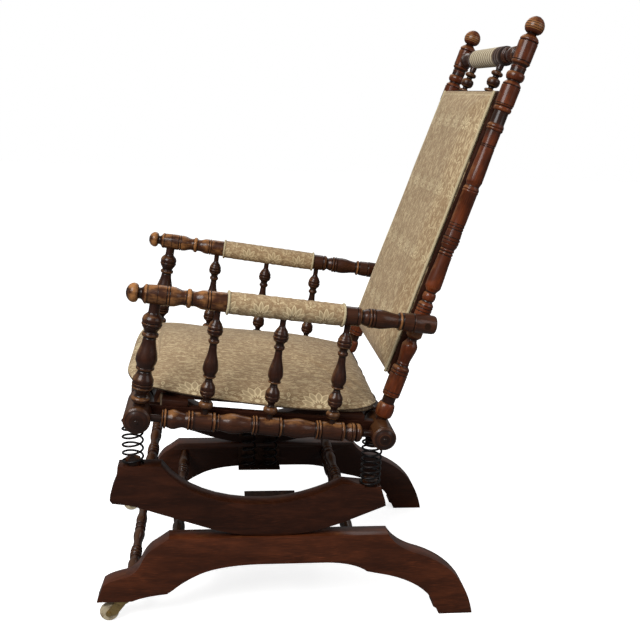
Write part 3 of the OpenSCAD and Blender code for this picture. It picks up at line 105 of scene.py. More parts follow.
BOARDS = {
    "wood_base": both("base_rail"),
    "wood_rockers": both("rocker"),
    "wood_boards": (*both("seat_board"), "seat_frame", "back_frame"),
    "wood_raw": ("seat_blocks",),
}
TURNED = {
    "wood_rockers": ("rocker_stretcher_front", "rocker_stretcher_rear", "spring_plugs"),
    "wood_arms": both("arm_rail"),
    "wood_sides": both("side_rail"),
    "wood_posts": both("back_post"),
    "wood_cross": ("front_cross_rail", "rear_cross_rail", "crest_rail", "base_stretcher_front",
                   "base_stretcher_middle", "base_stretcher_rear"),
    "wood_spindles": (*both("arm_post"), *both("arm_spindles"), "crest_spindles"),
}
# The shares of each wood that are rubbed, of the wax's gloss, and of thick stain, and what else sets it apart
WOODS = (
    ("base", 0.3, 0.8, 0.2, {}),
    ("rockers", 0.15, 0.4, 0.2, {}),
    ("arms", 0.85, 1.0, 0.35, {"front": True}),
    ("sides", 0.5, 1.0, 0.4, {}),
    ("posts", 0.45, 1.0, 0.65, {"lines": (0.0125, 0.0165, 0.0205)}),
    ("cross", 0.12, 1.0, 0.4, {}),
    ("spindles", 0.35, 1.0, 0.5, {}),
    ("boards", 0.1, 0.3, 0.2, {}),
    ("raw", 0.1, 0.1, 0.2, {"raw": True}),
)
IRON = (*both("lower_bracket"), *both("upper_bracket"), "lower_bracket_screws", "upper_bracket_screws",
        "spring_dishes")
BRASS = (*both("caster_socket"), *both("caster_fork"), *both("caster_axle"))
WHEELS = both("caster_wheel")


class Lean:
    """The axes of a piece that leans back about Y, with their own origin in metres."""

    def __init__(self, origin, degrees):
        self.origin, self.tilt = np.array(origin), math.radians(degrees)

    def turn(self, points, tilt):
        """Points turned about Y."""
        x, y, z = points.T
        c, s = math.cos(tilt), math.sin(tilt)
        return np.stack((x * c + z * s, y, z * c - x * s), 1)

    def into(self, points):
        """Points of the frame, in these axes."""
        return self.turn(points - self.origin, -self.tilt)

    def outof(self, points):
        """The way back to the frame."""
        return self.turn(points, self.tilt) + self.origin


UP = np.array((0, 0, 1.0))
SEAT = Lean((-0.288, 0.0, 0.405), 6.02)
BACK = Lean((0.125, 0.0, 0.361), 17.9)


def linear(r, g, b):
    """Scene-linear colour of a screen colour given from 0 to 255: the standard curve, undone."""
    c = np.array((r, g, b), float) / 255
    return tuple(np.where(c <= 0.04045, c / 12.92, ((c + 0.055) / 1.055) ** 2.4).tolist())


def colour_property(name, description, rgb):
    """A colour that the user can change."""
    return bpy.props.FloatVectorProperty(name=name, description=description, subtype="COLOR", size=3,
                                         min=0, max=1, default=linear(*rgb))


def number_property(name, description, default, **more):
    """A number from 0 up that the user can change."""
    return bpy.props.FloatProperty(name=name, description=description, default=default, **{"min": 0, **more})


def length_property(name, description, default):
    """A length in metres that the user can change."""
    return number_property(name, description, default, subtype="DISTANCE", unit="LENGTH", precision=4)


class ROCKER_PG_wood(bpy.types.PropertyGroup):
    """Colours and wear of the polished wood."""
    base: colour_property("Base", "Colour of the base rails", (88, 43, 22))
    rockers: colour_property("Rockers", "Colour of the rockers and their stretchers", (62, 30, 16))
    arms: colour_property("Arms", "Colour of the arm rails", (78, 42, 23))
    posts: colour_property("Posts", "Colour of the back posts", (106, 48, 20))
    spindles: colour_property("Spindles", "Colour of the spindles and arm posts", (58, 29, 17))
    boards: colour_property("Boards", "Colour of the plain boards", (60, 32, 22))
    cross: colour_property("Cross rails", "Colour of the cross and crest rails and the base's stretchers",
                           (60, 31, 19))
    sides: colour_property("Side rails", "Colour of the side rails", (72, 38, 21))
    raw: colour_property("Raw", "Colour of the unstained blocks", (140, 122, 100))
    worn: colour_property("Worn", "Colour where the stain has rubbed off", (172, 118, 68))
    # The old wax's colour, also used as painted shade on the boards' inner faces and in the cords' grooves
    wax_and_shade: colour_property("Groove", "Colour of the old wax in the grooves", (33, 17, 10))
    gloss: number_property("Gloss", "Strength of the wax over the wood", 0.32, max=1)
    edge: length_property("Edge", "Rounding of the boards' edges", 0.0011)


class ROCKER_PG_cloth(bpy.types.PropertyGroup):
    """Colours and sizes of the woven cover."""
    ground: colour_property("Ground", "Colour of the cover's ground", (164, 137, 103))
    figure: colour_property("Figure", "Colour of the woven figures", (228, 208, 166))
    # This colour is also laid as painted shade low on the seat cover's side
    shade: colour_property("Shade", "Colour of the weft behind the figures", (122, 97, 67))
    cord: colour_property("Cord", "Colour of the piping", (214, 196, 156))
    dark_cord: colour_property("Dark cord", "Colour of the cord round the seat cushion", (86, 66, 44))
    webbing: colour_property("Webbing", "Colour of the jute straps", (168, 142, 104))
    repeat: length_property("Repeat", "Spacing of the large figures", 0.108)
    piping_r: length_property("Piping radius", "Radius of the piping", 0.0021)
    swell: length_property("Swell", "Most that the cover swells", 0.009)
    voxel: length_property("Voxel", "Size of the back panel's cells before it swells", 0.006)


class ROCKER_PG_metal(bpy.types.PropertyGroup):
    """Colours of the metal pieces and wheels."""
    spring: colour_property("Springs", "Colour of the springs", (34, 32, 33))
    iron: colour_property("Iron", "Colour of the brackets and screws", (60, 42, 32))
    brass: colour_property("Brass", "Colour of the casters", (176, 150, 98))
    wheel: colour_property("Wheels", "Colour of the wheels", (206, 190, 158))
    wire_sides: bpy.props.IntProperty(name="Wire sides", description="Sides of a spring's wire", default=10,
                                      min=6)


class ROCKER_PG_stage(bpy.types.PropertyGroup):
    """The stage's light and camera."""
    floor: colour_property("Floor", "Colour of the floor", (250, 250, 250))
    room: number_property("Room light", "Strength of the light from all round", 0.34)
    shine: number_property("Shine", "Strength of the room in reflections", 0.25)
    bounce: number_property("Bounce", "Light that the floor throws back", 0.2, max=1)
    lift: number_property("Lift", "Brightness added to the floor that the camera sees", 0.72)
    key: number_property("Key light", "Power of the main soft light", 68, unit="POWER")
    fill: number_property("Fill light", "Power of the second soft light", 9, unit="POWER")
    lens: number_property("Lens", "Focal length in millimetres", 47.81, min=1)


def arithmetic(operation):
    """The methods of an operator and of its reflected form, which add a Math node."""
    return lambda a, b: a.net.math(operation, a, b), lambda a, b: a.net.math(operation, b, a)


class Num:
    """A number inside a material; arithmetic on it adds Math nodes."""
    __add__, __radd__ = arithmetic("ADD")
    __sub__, __rsub__ = arithmetic("SUBTRACT")
    __mul__, __rmul__ = arithmetic("MULTIPLY")
    __truediv__, __rtruediv__ = arithmetic("DIVIDE")
    __pow__, __rpow__ = arithmetic("POWER")

    def __init__(self, net, socket):
        self.net, self.socket = net, socket

    def __neg__(self):
        return self.net.math("MULTIPLY", self, -1)

    def __abs__(self):
        return self.net.math("ABSOLUTE", self)


class Net:
    """The nodes of a material or a world, added one call at a time."""

    def __init__(self, owner):
        self.owner = owner
        owner.use_nodes = True
        self.tree = owner.node_tree
        self.tree.nodes.clear()

    def node(self, kind, settings=None, inputs=None):
        """Adds a node of a type, with its settings first and then its inputs, as values or links."""
        made = self.tree.nodes.new(kind)
        for key, value in (settings or {}).items():
            setattr(made, key, value)
        for key, value in (inputs or {}).items():
            if isinstance(value, Num):
                self.tree.links.new(value.socket, made.inputs[key])
            else:
                made.inputs[key].default_value = value
        return made

    def out(self, made, key=0):
        """One output of a node."""
        return Num(self, made.outputs[key])

    def value(self, kind, settings=None, inputs=None, key=0):
        """One output of a new node."""
        return self.out(self.node(kind, settings, inputs), key)

    def math(self, operation, *values):
        """A Math node's result."""
        return self.value("ShaderNodeMath", {"operation": operation}, dict(enumerate(values)))

    def attribute(self, name, key="Fac"):
        """A value that the piece's own mesh carries."""
        return self.value("ShaderNodeAttribute", {"attribute_name": name}, key=key)

    def place(self):
        """Where a point lies, in the frame."""
        return self.value("ShaderNodeTexCoord", key="Object")

    def split(self, vector):
        """The three parts of a vector."""
        made = self.node("ShaderNodeSeparateXYZ", {}, {0: vector})
        return [self.out(made, k) for k in range(3)]

    def join(self, x, y, z):
        """A vector of three parts."""
        return self.value("ShaderNodeCombineXYZ", {}, {0: x, 1: y, 2: z})

    def noise(self, vector, scale, detail=3.0, rough=0.5, distortion=0.0):
        """Soft noise from about 0 to 1."""
        return self.value("ShaderNodeTexNoise", {}, {
            "Vector": vector, "Scale": scale, "Detail": detail, "Roughness": rough, "Distortion": distortion})

    def step(self, value, low, high):
        """Rises smoothly from 0 at low to 1 at high."""
        return self.value("ShaderNodeMapRange", {"interpolation_type": "SMOOTHSTEP"}, {
            0: value, 1: low, 2: high, 3: 0.0, 4: 1.0})

    def mix(self, share, first, second):
        """A colour between two colours."""
        def paint(c):
            return c if isinstance(c, Num) else (*c[:3], 1.0)
        return self.value("ShaderNodeMix", {"data_type": "RGBA"}, {
            0: share, 6: paint(first), 7: paint(second)}, 2)

    def bump(self, height, distance, strength=1.0):
        """A normal from a height, in metres of relief."""
        return self.value("ShaderNodeBump", {}, {
            "Height": height, "Distance": distance, "Strength": strength})

    def finish(self, colour, roughness, normal, metallic=0.0, coat=0.0, coat_rough=0.2, sheen=0.0,
               specular=0.5):
        """Links the shader and gives back the material."""
        inputs = {"Base Color": colour if isinstance(colour, Num) else (*colour, 1.0), "Roughness": roughness,
                  "Metallic": metallic, "Coat Weight": coat, "Coat Roughness": coat_rough,
                  "Sheen Weight": sheen, "Specular IOR Level": specular, "Normal": normal}
        shader = self.value("ShaderNodeBsdfPrincipled", {}, inputs)
        self.node("ShaderNodeOutputMaterial", {}, {"Surface": shader})
        return self.owner


def painted(name):
    """The net of a new material."""
    return Net(bpy.data.materials.new(name))


def shaded(tone, share):
    """A colour made darker or lighter by a share."""
    return tuple(min(1, c * share) for c in tone)


def wood(key, timber, rub, gloss, patchy, front=False, lines=(), raw=False):
    """Stained, waxed wood. Long grain and pores come from noise drawn out along the piece; wax is dark where
    the piece is cut in, and the stain is rubbed off its beads and upper side by the share rub, most in front
    where hands lie. The same dark is painted shade on the boards' inner faces. Gloss is its share of the wax,
    patchy is the share of stain that lies thicker in slow patches, lines are scribed rings at those distances
    from the upper end, and raw is bare wood in front."""
    net = painted("wood_" + key)
    tone, dark, worn = getattr(timber, "boards" if raw else key), timber.wax_and_shade, timber.worn
    across, depth, length = net.split(net.attribute("grain", "Vector"))
    streak = net.join(across, depth, length * 0.05)
    fine = net.noise(streak, 950.0, 4.0, 0.6)
    broad = net.noise(net.join(across, depth, length * 0.22), 42.0, 3.0, 0.55, 0.6)
    patch = net.noise(net.attribute("grain", "Vector"), 13.0, 2.0)
    thick = net.noise(net.join(across, depth, length), 21.0, 2.0, 0.6)
    wear, top, deep = net.attribute("wear"), net.attribute("top"), net.attribute("deep")
    colour = net.mix(net.step(broad * 0.65 + fine * 0.35, 0.36, 0.66), shaded(tone, 0.44), tone)
    colour = net.mix(net.step(fine + patch * 0.35, 0.72, 0.95) * 0.5, colour, shaded(tone, 2.1))
    colour = net.mix(net.step(thick, 0.44, 0.6) * patchy, colour, shaded(tone, 0.3))
    blotch = net.noise(net.join(across, depth, length * 0.5), 110.0, 3.0, 0.6)
    if front:
        x = net.split(net.place())[0]
        near = net.step(-x, -0.05, 0.2)
        top = net.math("MAXIMUM", top * (0.35 + 0.65 * near), near * 0.62)
    rubbed = net.math("MAXIMUM", net.step(top * 0.85 + blotch * 0.9 + deep * 0.25, 0.85, 1.35),
                      net.step(wear + blotch * 0.9, 0.85, 1.5) * 0.7) * rub
    colour = net.mix(rubbed, colour, worn)
    ends = net.attribute("end")
    halo, line = 0.0022, 0.0009
    for place in lines:
        off = abs(ends - place)
        colour = net.mix(net.step(halo - off, 0.0, 0.0008) * 0.55, colour, worn)
        colour = net.mix(net.step(line - off, 0.0, 0.0005), colour, dark)
    # Dark old wax in the turned pieces' grooves, and painted shade on the boards' inner faces
    colour = net.mix(net.step(-wear, 0.25, 0.8) * 0.9, colour, dark)
    colour = net.mix(net.step(-deep + patch * 0.2, 0.45, 1.1) * 0.4, colour, dark)
    if raw:
        colour = net.mix(net.step(-net.split(net.place())[0], 0.249, 0.251), colour, timber.raw)
    rough = 0.26 + fine * 0.18 + rubbed * 0.15
    height = fine * 0.5 + broad * 0.5
    return net.finish(colour, rough, net.bump(height, 0.00025, 0.15), coat=timber.gloss * gloss,
                      coat_rough=0.15, specular=0.16)


def weave(net, u, v):
    """Height of a plain weave, as threads that pass over and under: the product of two waves."""
    pitch = math.tau / THREAD
    a, b = net.math("SINE", u * pitch), net.math("SINE", v * pitch)
    return a * b * 0.5 + 0.5


def fan(net, x, y, size, petals):
    """A fan of slender petals on a point. Each petal lies in its own slice of the turn, and the outer petals
    are shorter. A petal's half width is a sine of the share of its length, and its rim is its lightest."""
    angle = net.math("ARCTAN2", x, y)
    radius = net.math("SQRT", x * x + y * y)
    spread = 3.6
    slice_angle = spread / petals
    off = (net.math("FRACT", angle / slice_angle + 0.5) - 0.5) * slice_angle
    reach = size * (1.0 - 0.16 * angle * angle)
    share = net.math("MINIMUM", net.math("MAXIMUM", (radius - size * 0.16) / (reach - size * 0.16), 0.0), 1.0)
    half = net.math("SINE", share ** 1.35 * math.pi) * (size * 0.15)
    depth = half - abs(off) * radius
    within = net.step(1.9 - abs(angle), 0.0, 0.1)
    rim = net.step(size * 0.045 - abs(depth - size * 0.03), 0.0, size * 0.03)
    face = net.step(depth, 0.0, size * 0.04)
    eye = net.step(size * 0.13 - radius, 0.0, size * 0.04)
    return net.math("MAXIMUM", net.math("MAXIMUM", rim, face * 0.35) * within, eye)


def tapestry(name, cloth, rows, flecks, lattice, grainy, low=0.0):
    """Woven cover. Fans stand in rows one repeat apart, with sprigs between them and darker weft behind; fine
    leafy flecks run along the threads everywhere else, and a slow change of tone is old wear. Grainy is how
    the flecks are drawn out, and below the height low the cover is darker with painted shade."""
    net = painted(name)
    u, v, edge = net.split(net.attribute("cloth", "Vector"))
    repeat = cloth.repeat if not lattice else cloth.repeat * 0.5
    wave = net.join(u * grainy[0], v * grainy[1], 0.0)
    leaf = net.noise(wave, 210.0, 2.0, 0.5, 1.1)
    vein = net.noise(wave, 95.0, 1.0, 0.5, 1.6)
    curl = 1.0 - net.step(abs(vein - 0.5), 0.006, 0.024)
    figure = net.math("MAXIMUM", net.step(leaf, 0.53, 0.6) * 0.78, curl * 0.9) * flecks
    shade = net.step(0.5 - leaf, 0.0, 0.1) * 0.42
    # Below the height low, painted shade darkens the lower side of the cover
    if low:
        shade = net.math("MAXIMUM", shade, net.step(low - v, 0.0, low * 0.7) * 0.7)
    for start, size, petals in rows:
        for turn, scale in ((0.0, 1.0), (0.5, 0.5)):
            cell = (net.math("FRACT", u / repeat + (0.5 + turn)) - 0.5) * repeat
            up = v - (start + size * turn * 0.6)
            if lattice:
                up = (net.math("FRACT", (v - start) / lattice + turn) - 0.25) * lattice
            drawn = fan(net, cell, up, size * scale, petals if turn == 0 else 3)
            near = net.math("SQRT", cell * cell + (up - size * 0.4 * scale) * (up - size * 0.4 * scale))
            clear = net.step(size * 0.8 * scale - near, 0.0, size * 0.45)
            figure = net.math("MAXIMUM", figure * (1.0 - clear * 0.8), drawn)
            shade = net.math("MAXIMUM", shade, clear * 0.65)
    grit = net.noise(net.attribute("cloth", "Vector"), 1500.0, 2.0, 0.7)
    patch = net.noise(net.join(u, v, 0.0), 9.0, 3.0)
    tone = weave(net, u, v)
    colour = net.mix(shade * (0.5 + 0.5 * grit), cloth.ground, cloth.shade)
    colour = net.mix(figure * (0.62 + 0.5 * grit), colour, cloth.figure)
    colour = net.mix(net.step(patch + grit * 0.2, 0.5, 0.82) * 0.25, colour, cloth.shade)
    colour = net.mix((1.0 - tone) * 0.14, colour, cloth.shade)
    row, half = 0.009, 0.0012
    stitch = net.step(half - abs(edge - row), 0.0, 0.0006) * net.step(
        net.math("SINE", u * (math.tau / STITCH)), -0.5, 0.1)
    colour = net.mix(stitch * 0.85, colour, cloth.cord)
    height = tone * 0.35 + figure * 0.5 + grit * 0.25 + stitch * 0.6
    return net.finish(colour, 0.86, net.bump(height, 0.0005, 0.8), sheen=0.1, specular=0.2)


def cording(name, tone, shade, pitch=0.0017, slant=1.2):
    """Piping covered with cloth: threads wind slantwise round it, so its tone waves along it and round it;
    the dark of each wave is painted shade in the groove between strands.
    """
    net = painted(name)
    u, v, _ = net.split(net.attribute("cloth", "Vector"))
    grit = net.noise(net.attribute("cloth", "Vector"), 900.0, 3.0, 0.6)
    strand = net.math("SINE", (u / pitch + v * slant) * math.tau - math.pi / 2) * 0.5 + 0.5
    # Painted shade: the tone darkens into the grooves between strands
    colour = net.mix(net.step(strand * 0.6 + grit * 0.6, 0.3, 0.8), shade, tone)
    return net.finish(colour, 0.8, net.bump(strand + grit * 0.5, 0.0004, 0.8), sheen=0.15, specular=0.25)


def jute(name, tone):
    """Coarse webbing: two sets of thick threads, each shown by turns, with loose fibres."""
    net = painted(name)
    x, y, z = net.split(net.place())
    pitch = math.tau / JUTE_THREAD
    cross = net.math("SINE", x * pitch) * net.math("SINE", y * pitch)
    fibre = net.noise(net.join(x, y * 0.3, z), 700.0, 4.0, 0.65)
    colour = net.mix(net.step(cross * 0.5 + fibre * 0.6, -0.1, 0.75), shaded(tone, 0.4), tone)
    return net.finish(colour, 0.9, net.bump(cross + fibre, 0.0006, 0.9), specular=0.2)


def metal(name, tone, rust, shine, mottle):
    """Old metal: a worn face with duller spots of rust or tarnish from two sizes of noise."""
    net = painted(name)
    place = net.place()
    big, small = net.noise(place, 90.0, 3.0), net.noise(place, 600.0, 3.0, 0.6)
    spots = net.step(big * 0.6 + small * 0.5, 0.52, 0.7) * mottle
    colour = net.mix(spots, tone, rust)
    rough = shine + spots * 0.25 + small * 0.12
    return net.finish(colour, rough, net.bump(small + big * 0.5, 0.00025, 0.6), metallic=0.85 - spots * 0.4)


def porcelain(name, tone, shade):
    """A worn wheel of glazed ware or pale fibre: brown wear from noise over a cream face."""
    net = painted(name)
    place = net.place()
    big, small = net.noise(place, 140.0, 3.0), net.noise(place, 900.0, 2.0)
    colour = net.mix(net.step(big + small * 0.3, 0.55, 0.85) * 0.7, tone, shade)
    return net.finish(colour, 0.38 + small * 0.2, net.bump(small, 0.0002, 0.5), coat=0.2)


def use(obj, material):
    """Gives a piece its material."""
    obj.data.materials.clear()
    obj.data.materials.append(material)
    return obj


def material(name):
    """A material made by the materials operator."""
    found = bpy.data.materials.get(name)
    if found is None:
        raise RuntimeError(f"make the material {name} first")
    return found


def merged(node):
    """A CAD node's points with its doubles merged, and its triangles."""
    mesh = NODES[node].data
    points = np.empty(len(mesh.vertices) * 3, np.float32)
    corners = np.empty(len(mesh.loops), np.int32)
    mesh.vertices.foreach_get("co", points)
    mesh.loops.foreach_get("vertex_index", corners)
    points, back = np.unique(points.reshape(-1, 3), axis=0, return_inverse=True)
    tris = back.ravel()[corners].reshape(-1, 3)
    whole = (tris[:, 0] != tris[:, 1]) & (tris[:, 1] != tris[:, 2]) & (tris[:, 0] != tris[:, 2])
    return points.astype(float), tris[whole]


def solids_of(count, tris):
    """Each point's label, which is the same over a joined solid: the lowest one spreads over the faces."""
    label = np.arange(count)
    while True:
        new = label.copy()
        np.minimum.at(new, tris.ravel(), np.repeat(label[tris].min(1), 3))
        new = new[new]
        if (new == label).all():
            return label
        label = new


def ring_quads(rows, around, closed=False):
    """The quads between each of the rows of rings and the next, and on to the first where it is closed."""
    i, j = np.meshgrid(np.arange(rows), np.arange(around), indexing="ij")
    count = rows if closed else rows + 1

    def at(row, column):
        return row % count * around + column % around
    return np.stack((at(i, j), at(i, j + 1), at(i + 1, j + 1), at(i + 1, j)), -1).reshape(-1, 4)


def pole_fans(last, around):
    """The triangles that close the first ring and the last, onto the two points after all the rings."""
    k, pole = np.arange(around), np.full(around, (last + 1) * around)
    following = (k + 1) % around
    return (np.stack((pole, following, k), 1).tolist()
            + np.stack((pole + 1, last * around + k, last * around + following), 1).tolist())


def build(name, points, faces, sharp=None):
    """A smooth mesh object at the origin, with edges over the sharp angle, in degrees, kept sharp."""
    mesh = bpy.data.meshes.new(name)
    faces = faces if isinstance(faces, list) else faces.tolist()
    mesh.from_pydata(np.asarray(points, float).tolist(), [], faces)
    mesh.validate()
    mesh.shade_smooth()
    if sharp is not None:
        mesh.set_sharp_from_angle(angle=math.radians(sharp))
    obj = bpy.data.objects.new(name, mesh)
    bpy.context.scene.collection.objects.link(obj)
    return obj


def reshaped(obj, change):
    """Runs a change on a piece's mesh as a BMesh."""
    work = bmesh.new()
    work.from_mesh(obj.data)
    change(work)
    work.to_mesh(obj.data)
    work.free()
    obj.data.update()


def carry(obj, name, values):
    """Puts a value, or a vector of three, on each point of a piece."""
    values = np.asarray(values, np.float32)
    kind, key = ("FLOAT_VECTOR", "vector") if values.ndim == 2 else ("FLOAT", "value")
    layer = obj.data.attributes.get(name) or obj.data.attributes.new(name, kind, "POINT")
    layer.data.foreach_set(key, values.ravel())


def normals_of(points, tris):
    """Each point's normal: the sum of its faces' cross products, made one long."""
    a, b, c = points[tris[:, 0]], points[tris[:, 1]], points[tris[:, 2]]
    face = np.cross(b - a, c - a)
    out = np.zeros_like(points)
    for k in range(3):
        np.add.at(out, tris[:, k], face)
    return out / np.maximum(np.linalg.norm(out, axis=1, keepdims=True), 1e-12)


def unit(vectors):
    """Rows of vectors, made one long."""
    return vectors / np.linalg.norm(vectors, axis=1, keepdims=True)


def square_to(way):
    """A direction square to another: level, or square to X where the other stands upright."""
    side = np.cross(way, (0, 0, 1) if abs(way[2]) < 0.9 else (1, 0, 0))
    return side / np.linalg.norm(side)


def axis_of(points):
    """The axis of a turned solid, as a point on it and its direction. It starts as the solid's longest way,
    and is then the line through the middles of the slices' widths, without the slices that lie off it."""
    slice_l, least, far = 0.003, 30, 9.0
    middle = points.mean(0)
    way = np.linalg.svd(points - middle, full_matrices=False)[2][0]
    for _ in range(3):
        side = square_to(way)
        other = np.cross(way, side)
        local = points - middle
        along, flat = local @ way, np.stack((local @ side, local @ other), 1)
        cell = ((along - along.min()) / slice_l).astype(int)
        low, high = np.full((cell.max() + 1, 2), far), np.full((cell.max() + 1, 2), -far)
        np.minimum.at(low, cell, flat)
        np.maximum.at(high, cell, flat)
        full = np.bincount(cell) >= least
        if full.sum() < 3:
            break
        at = along.min() + (np.flatnonzero(full) + 0.5) * slice_l
        centre = ((low + high) / 2)[full]
        off = np.linalg.norm(centre - np.median(centre, 0), axis=1)
        near = off <= np.median(off) * 2 + 2e-4
        if near.sum() < 3:
            break
        slope = [np.polyfit(at[near], centre[near, k], 1) for k in range(2)]
        middle = middle + side * slope[0][1] + other * slope[1][1]
        way = way + side * slope[0][0] + other * slope[1][0]
        way /= np.linalg.norm(way)
    return middle, way


def turned_values(points, tris):
    """What a turned piece's points carry: the grain's own coordinates (across, across, along its axis), how
    far each stands out of or lies in from the mean radius near it and further round, how far it lies from the
    upper end, and how much it faces up and forwards."""
    slice_l, bead_r, scratch_r, apart = 0.0015, 0.0035, 0.0009, 0.7
    label = solids_of(len(points), tris)
    grain, wear, deep, end = np.zeros_like(points), *np.zeros((3, len(points)))
    for number, key in enumerate(np.unique(label)):
        mine = label == key
        middle, way = axis_of(points[mine])
        side = square_to(way)
        local = points[mine] - middle
        along = local @ way
        flat = local - along[:, None] * way
        radius = np.linalg.norm(flat, axis=1)
        cell = ((along - along.min()) / slice_l).astype(int)
        ring = np.full(cell.max() + 1, -1.0)
        np.maximum.at(ring, cell, radius)
        known = np.flatnonzero(ring >= 0)
        ring = np.interp(np.arange(len(ring)), known, ring[known])
        wide = np.pad(ring, 8, mode="edge")
        mean = np.convolve(wide, np.ones(17) / 17, "valid")
        near = np.convolve(wide[6:-6], np.ones(5) / 5, "valid")
        deep[mine] = np.clip((radius - mean[cell]) / bead_r, -1, 1)
        wear[mine] = np.clip((radius - near[cell]) / scratch_r, -1, 1)
        upward = along if way[2] > 0 else -along
        end[mine] = upward.max() - upward
        grain[mine] = np.stack((flat @ side, flat @ np.cross(way, side), along + number * apart), 1)
    normal = normals_of(points, tris)
    top = np.clip(normal[:, 2] * 0.9 - normal[:, 0] * 0.35, 0, 1)
    return {"grain": grain, "wear": wear, "deep": deep, "end": end, "top": top}


def plan(a):
    """The cushion's rounded plan at an angle: the cosine and sine to a power, which is higher, so that the
    corners are rounder, in front."""
    power = np.where(np.cos(a) > 0, 0.44, 0.24)
    return (np.sign(np.cos(a)) * np.abs(np.cos(a)) ** power * PLAN_HALF_L,
            np.sign(np.sin(a)) * np.abs(np.sin(a)) ** power * PLAN_HALF_W)


def rearward(x):
    """How far the cover is drawn down and out, from 0 near the front to 1 at the rear: a quarter wave."""
    start, length = 0.02, 0.28
    return np.sin(math.pi / 2 * np.clip((x - start) / length, 0, 1))


def edge_drop(x):
    """How far below the seat's level the cushion's edge lies, towards the rear."""
    return 0.0085 * rearward(x) ** 1.5


def seat_level(x):
    """Height of the cushion's edge without its drop: level, and lower by a square over the rolled front."""
    height, roll_h, roll_start, roll_l = 0.0372, 0.0112, 0.0627, 0.0967
    return height - roll_h * np.clip((roll_start - x) / roll_l, 0, None) ** 2


def edge_height(x):
    """Height of the cushion's edge."""
    return seat_level(x) - edge_drop(x)


def half_width(x):
    """The cushion's half width: tapered to the rear, and drawn out there with its cover."""
    front_w, taper, drawn_out = 0.226, 0.023, 0.004
    return front_w - taper * (x - CUSHION_FRONT) / (CUSHION_REAR - CUSHION_FRONT) + drawn_out * rearward(x)


def cushion_ring(a, share, below=None):
    """A ring of the cover at the angles a and a share of the plan: on its crown, or below its edge. The crown
    is one less the share of the half width to a power, times the root of one less the share of the half
    length to a power. The front corners are drawn in."""
    front_h, rise, corner_in, corner_l, corner_start, rim_share = 0.0275, 0.008, 0.05, 0.024, -0.01, 0.95
    x, y = plan(a)
    x = CUSHION_MIDDLE - x * share
    y = y / PLAN_HALF_W * half_width(x) * share
    u, v = np.abs(x - CUSHION_MIDDLE) / PLAN_HALF_L, np.minimum(np.abs(y) / half_width(x), 1)
    y = y * (1 - corner_in * np.clip((corner_start - x) / corner_l, 0, 1) ** 2)
    if below is None:
        height = front_h + rise * (x - CUSHION_FRONT) / (CUSHION_REAR - CUSHION_FRONT) + edge_drop(x)
        side = (1 - v ** 2.3) ** (1 - 0.5 * rearward(x))
        return np.stack((x, y, edge_height(x) + height * side * np.clip(1 - u ** 7, 0, None) ** 0.5), 1)
    return np.stack((x, y, (edge_height if share > rim_share else seat_level)(x) - below), 1)


def half_widths(local):
    """A panel's half width against its height, as a straight line through the widest point of each slice."""
    cell = ((local[:, 2] - local[:, 2].min()) / PANEL_SLICE).astype(int)
    wide = np.zeros(cell.max() + 1)
    np.maximum.at(wide, cell, np.abs(local[:, 1]))
    known = np.flatnonzero(wide > 0)[1:-1]
    slope = np.polyfit(known + 0.5, wide[known], 1)
    ends = np.array((local[:, 2].min(), local[:, 2].max()))
    return ends, slope[1] + slope[0] * (ends - ends[0]) / PANEL_SLICE


def tube(name, path, radius, hint, sides, closed=False, turn_l=1.0):
    """A round cord along a path. Each ring lies across the path's way, with its first spoke along the hint
    made square to it; the cloth values are the length along the path, and a length for each turn round it."""
    path, hint = np.asarray(path, float), np.broadcast_to(np.asarray(hint, float), np.shape(path))
    if closed:
        way = np.roll(path, -1, 0) - np.roll(path, 1, 0)
        run = np.concatenate(([0], np.cumsum(np.linalg.norm(np.roll(path, -1, 0) - path, axis=1))[:-1]))
    else:
        way = np.gradient(path, axis=0)
        run = np.concatenate(([0], np.cumsum(np.linalg.norm(np.diff(path, axis=0), axis=1))))
    way = unit(way)
    first = unit(hint - way * (hint * way).sum(1, keepdims=True))
    second = np.cross(way, first)
    turn = np.arange(sides) / sides
    a = (turn * math.tau)[None, :, None]
    size = np.broadcast_to(np.asarray(radius, float), (len(path),))[:, None, None]
    spokes = np.cos(a) * first[:, None] + np.sin(a) * second[:, None]
    points = (path[:, None] + size * spokes).reshape(-1, 3)
    rows = len(path) if closed else len(path) - 1
    faces = np.roll(ring_quads(rows, sides, closed), -1, 1).tolist()
    cloth = np.stack((np.repeat(run, sides), np.tile(turn * turn_l, len(path)), np.zeros(len(points))), 1)
    if not closed:
        points = np.concatenate((points, path[:1], path[-1:]))
        cloth = np.concatenate((cloth, [[0, 0, 0], [run[-1], 0, 0]]))
        faces += pole_fans(rows, sides)
    obj = build(name, points, faces)
    face_out(obj)
    carry(obj, "cloth", cloth)
    return obj


def face_out(obj):
    """Turns a closed mesh's faces outwards."""
    reshaped(obj, lambda work: bmesh.ops.recalc_face_normals(work, faces=work.faces))


def positions(obj):
    """A mesh's points as an array."""
    points = np.empty(len(obj.data.vertices) * 3, np.float32)
    obj.data.vertices.foreach_get("co", points)
    return points.reshape(-1, 3).astype(float)


def normals(obj):
    """A mesh's point normals as an array."""
    out = np.empty(len(obj.data.vertices) * 3, np.float32)
    obj.data.vertices.foreach_get("normal", out)
    return out.reshape(-1, 3).astype(float)


def settle(obj, points):
    """Puts new positions into a mesh."""
    obj.data.vertices.foreach_set("co", np.asarray(points, np.float32).ravel())
    obj.data.update()


def applied(obj):
    """Makes a piece's modifiers part of its mesh."""
    bpy.context.view_layer.update()
    shaped = obj.evaluated_get(bpy.context.evaluated_depsgraph_get())
    mesh = bpy.data.meshes.new_from_object(shaped)
    obj.modifiers.clear()
    obj.data = mesh
    return obj


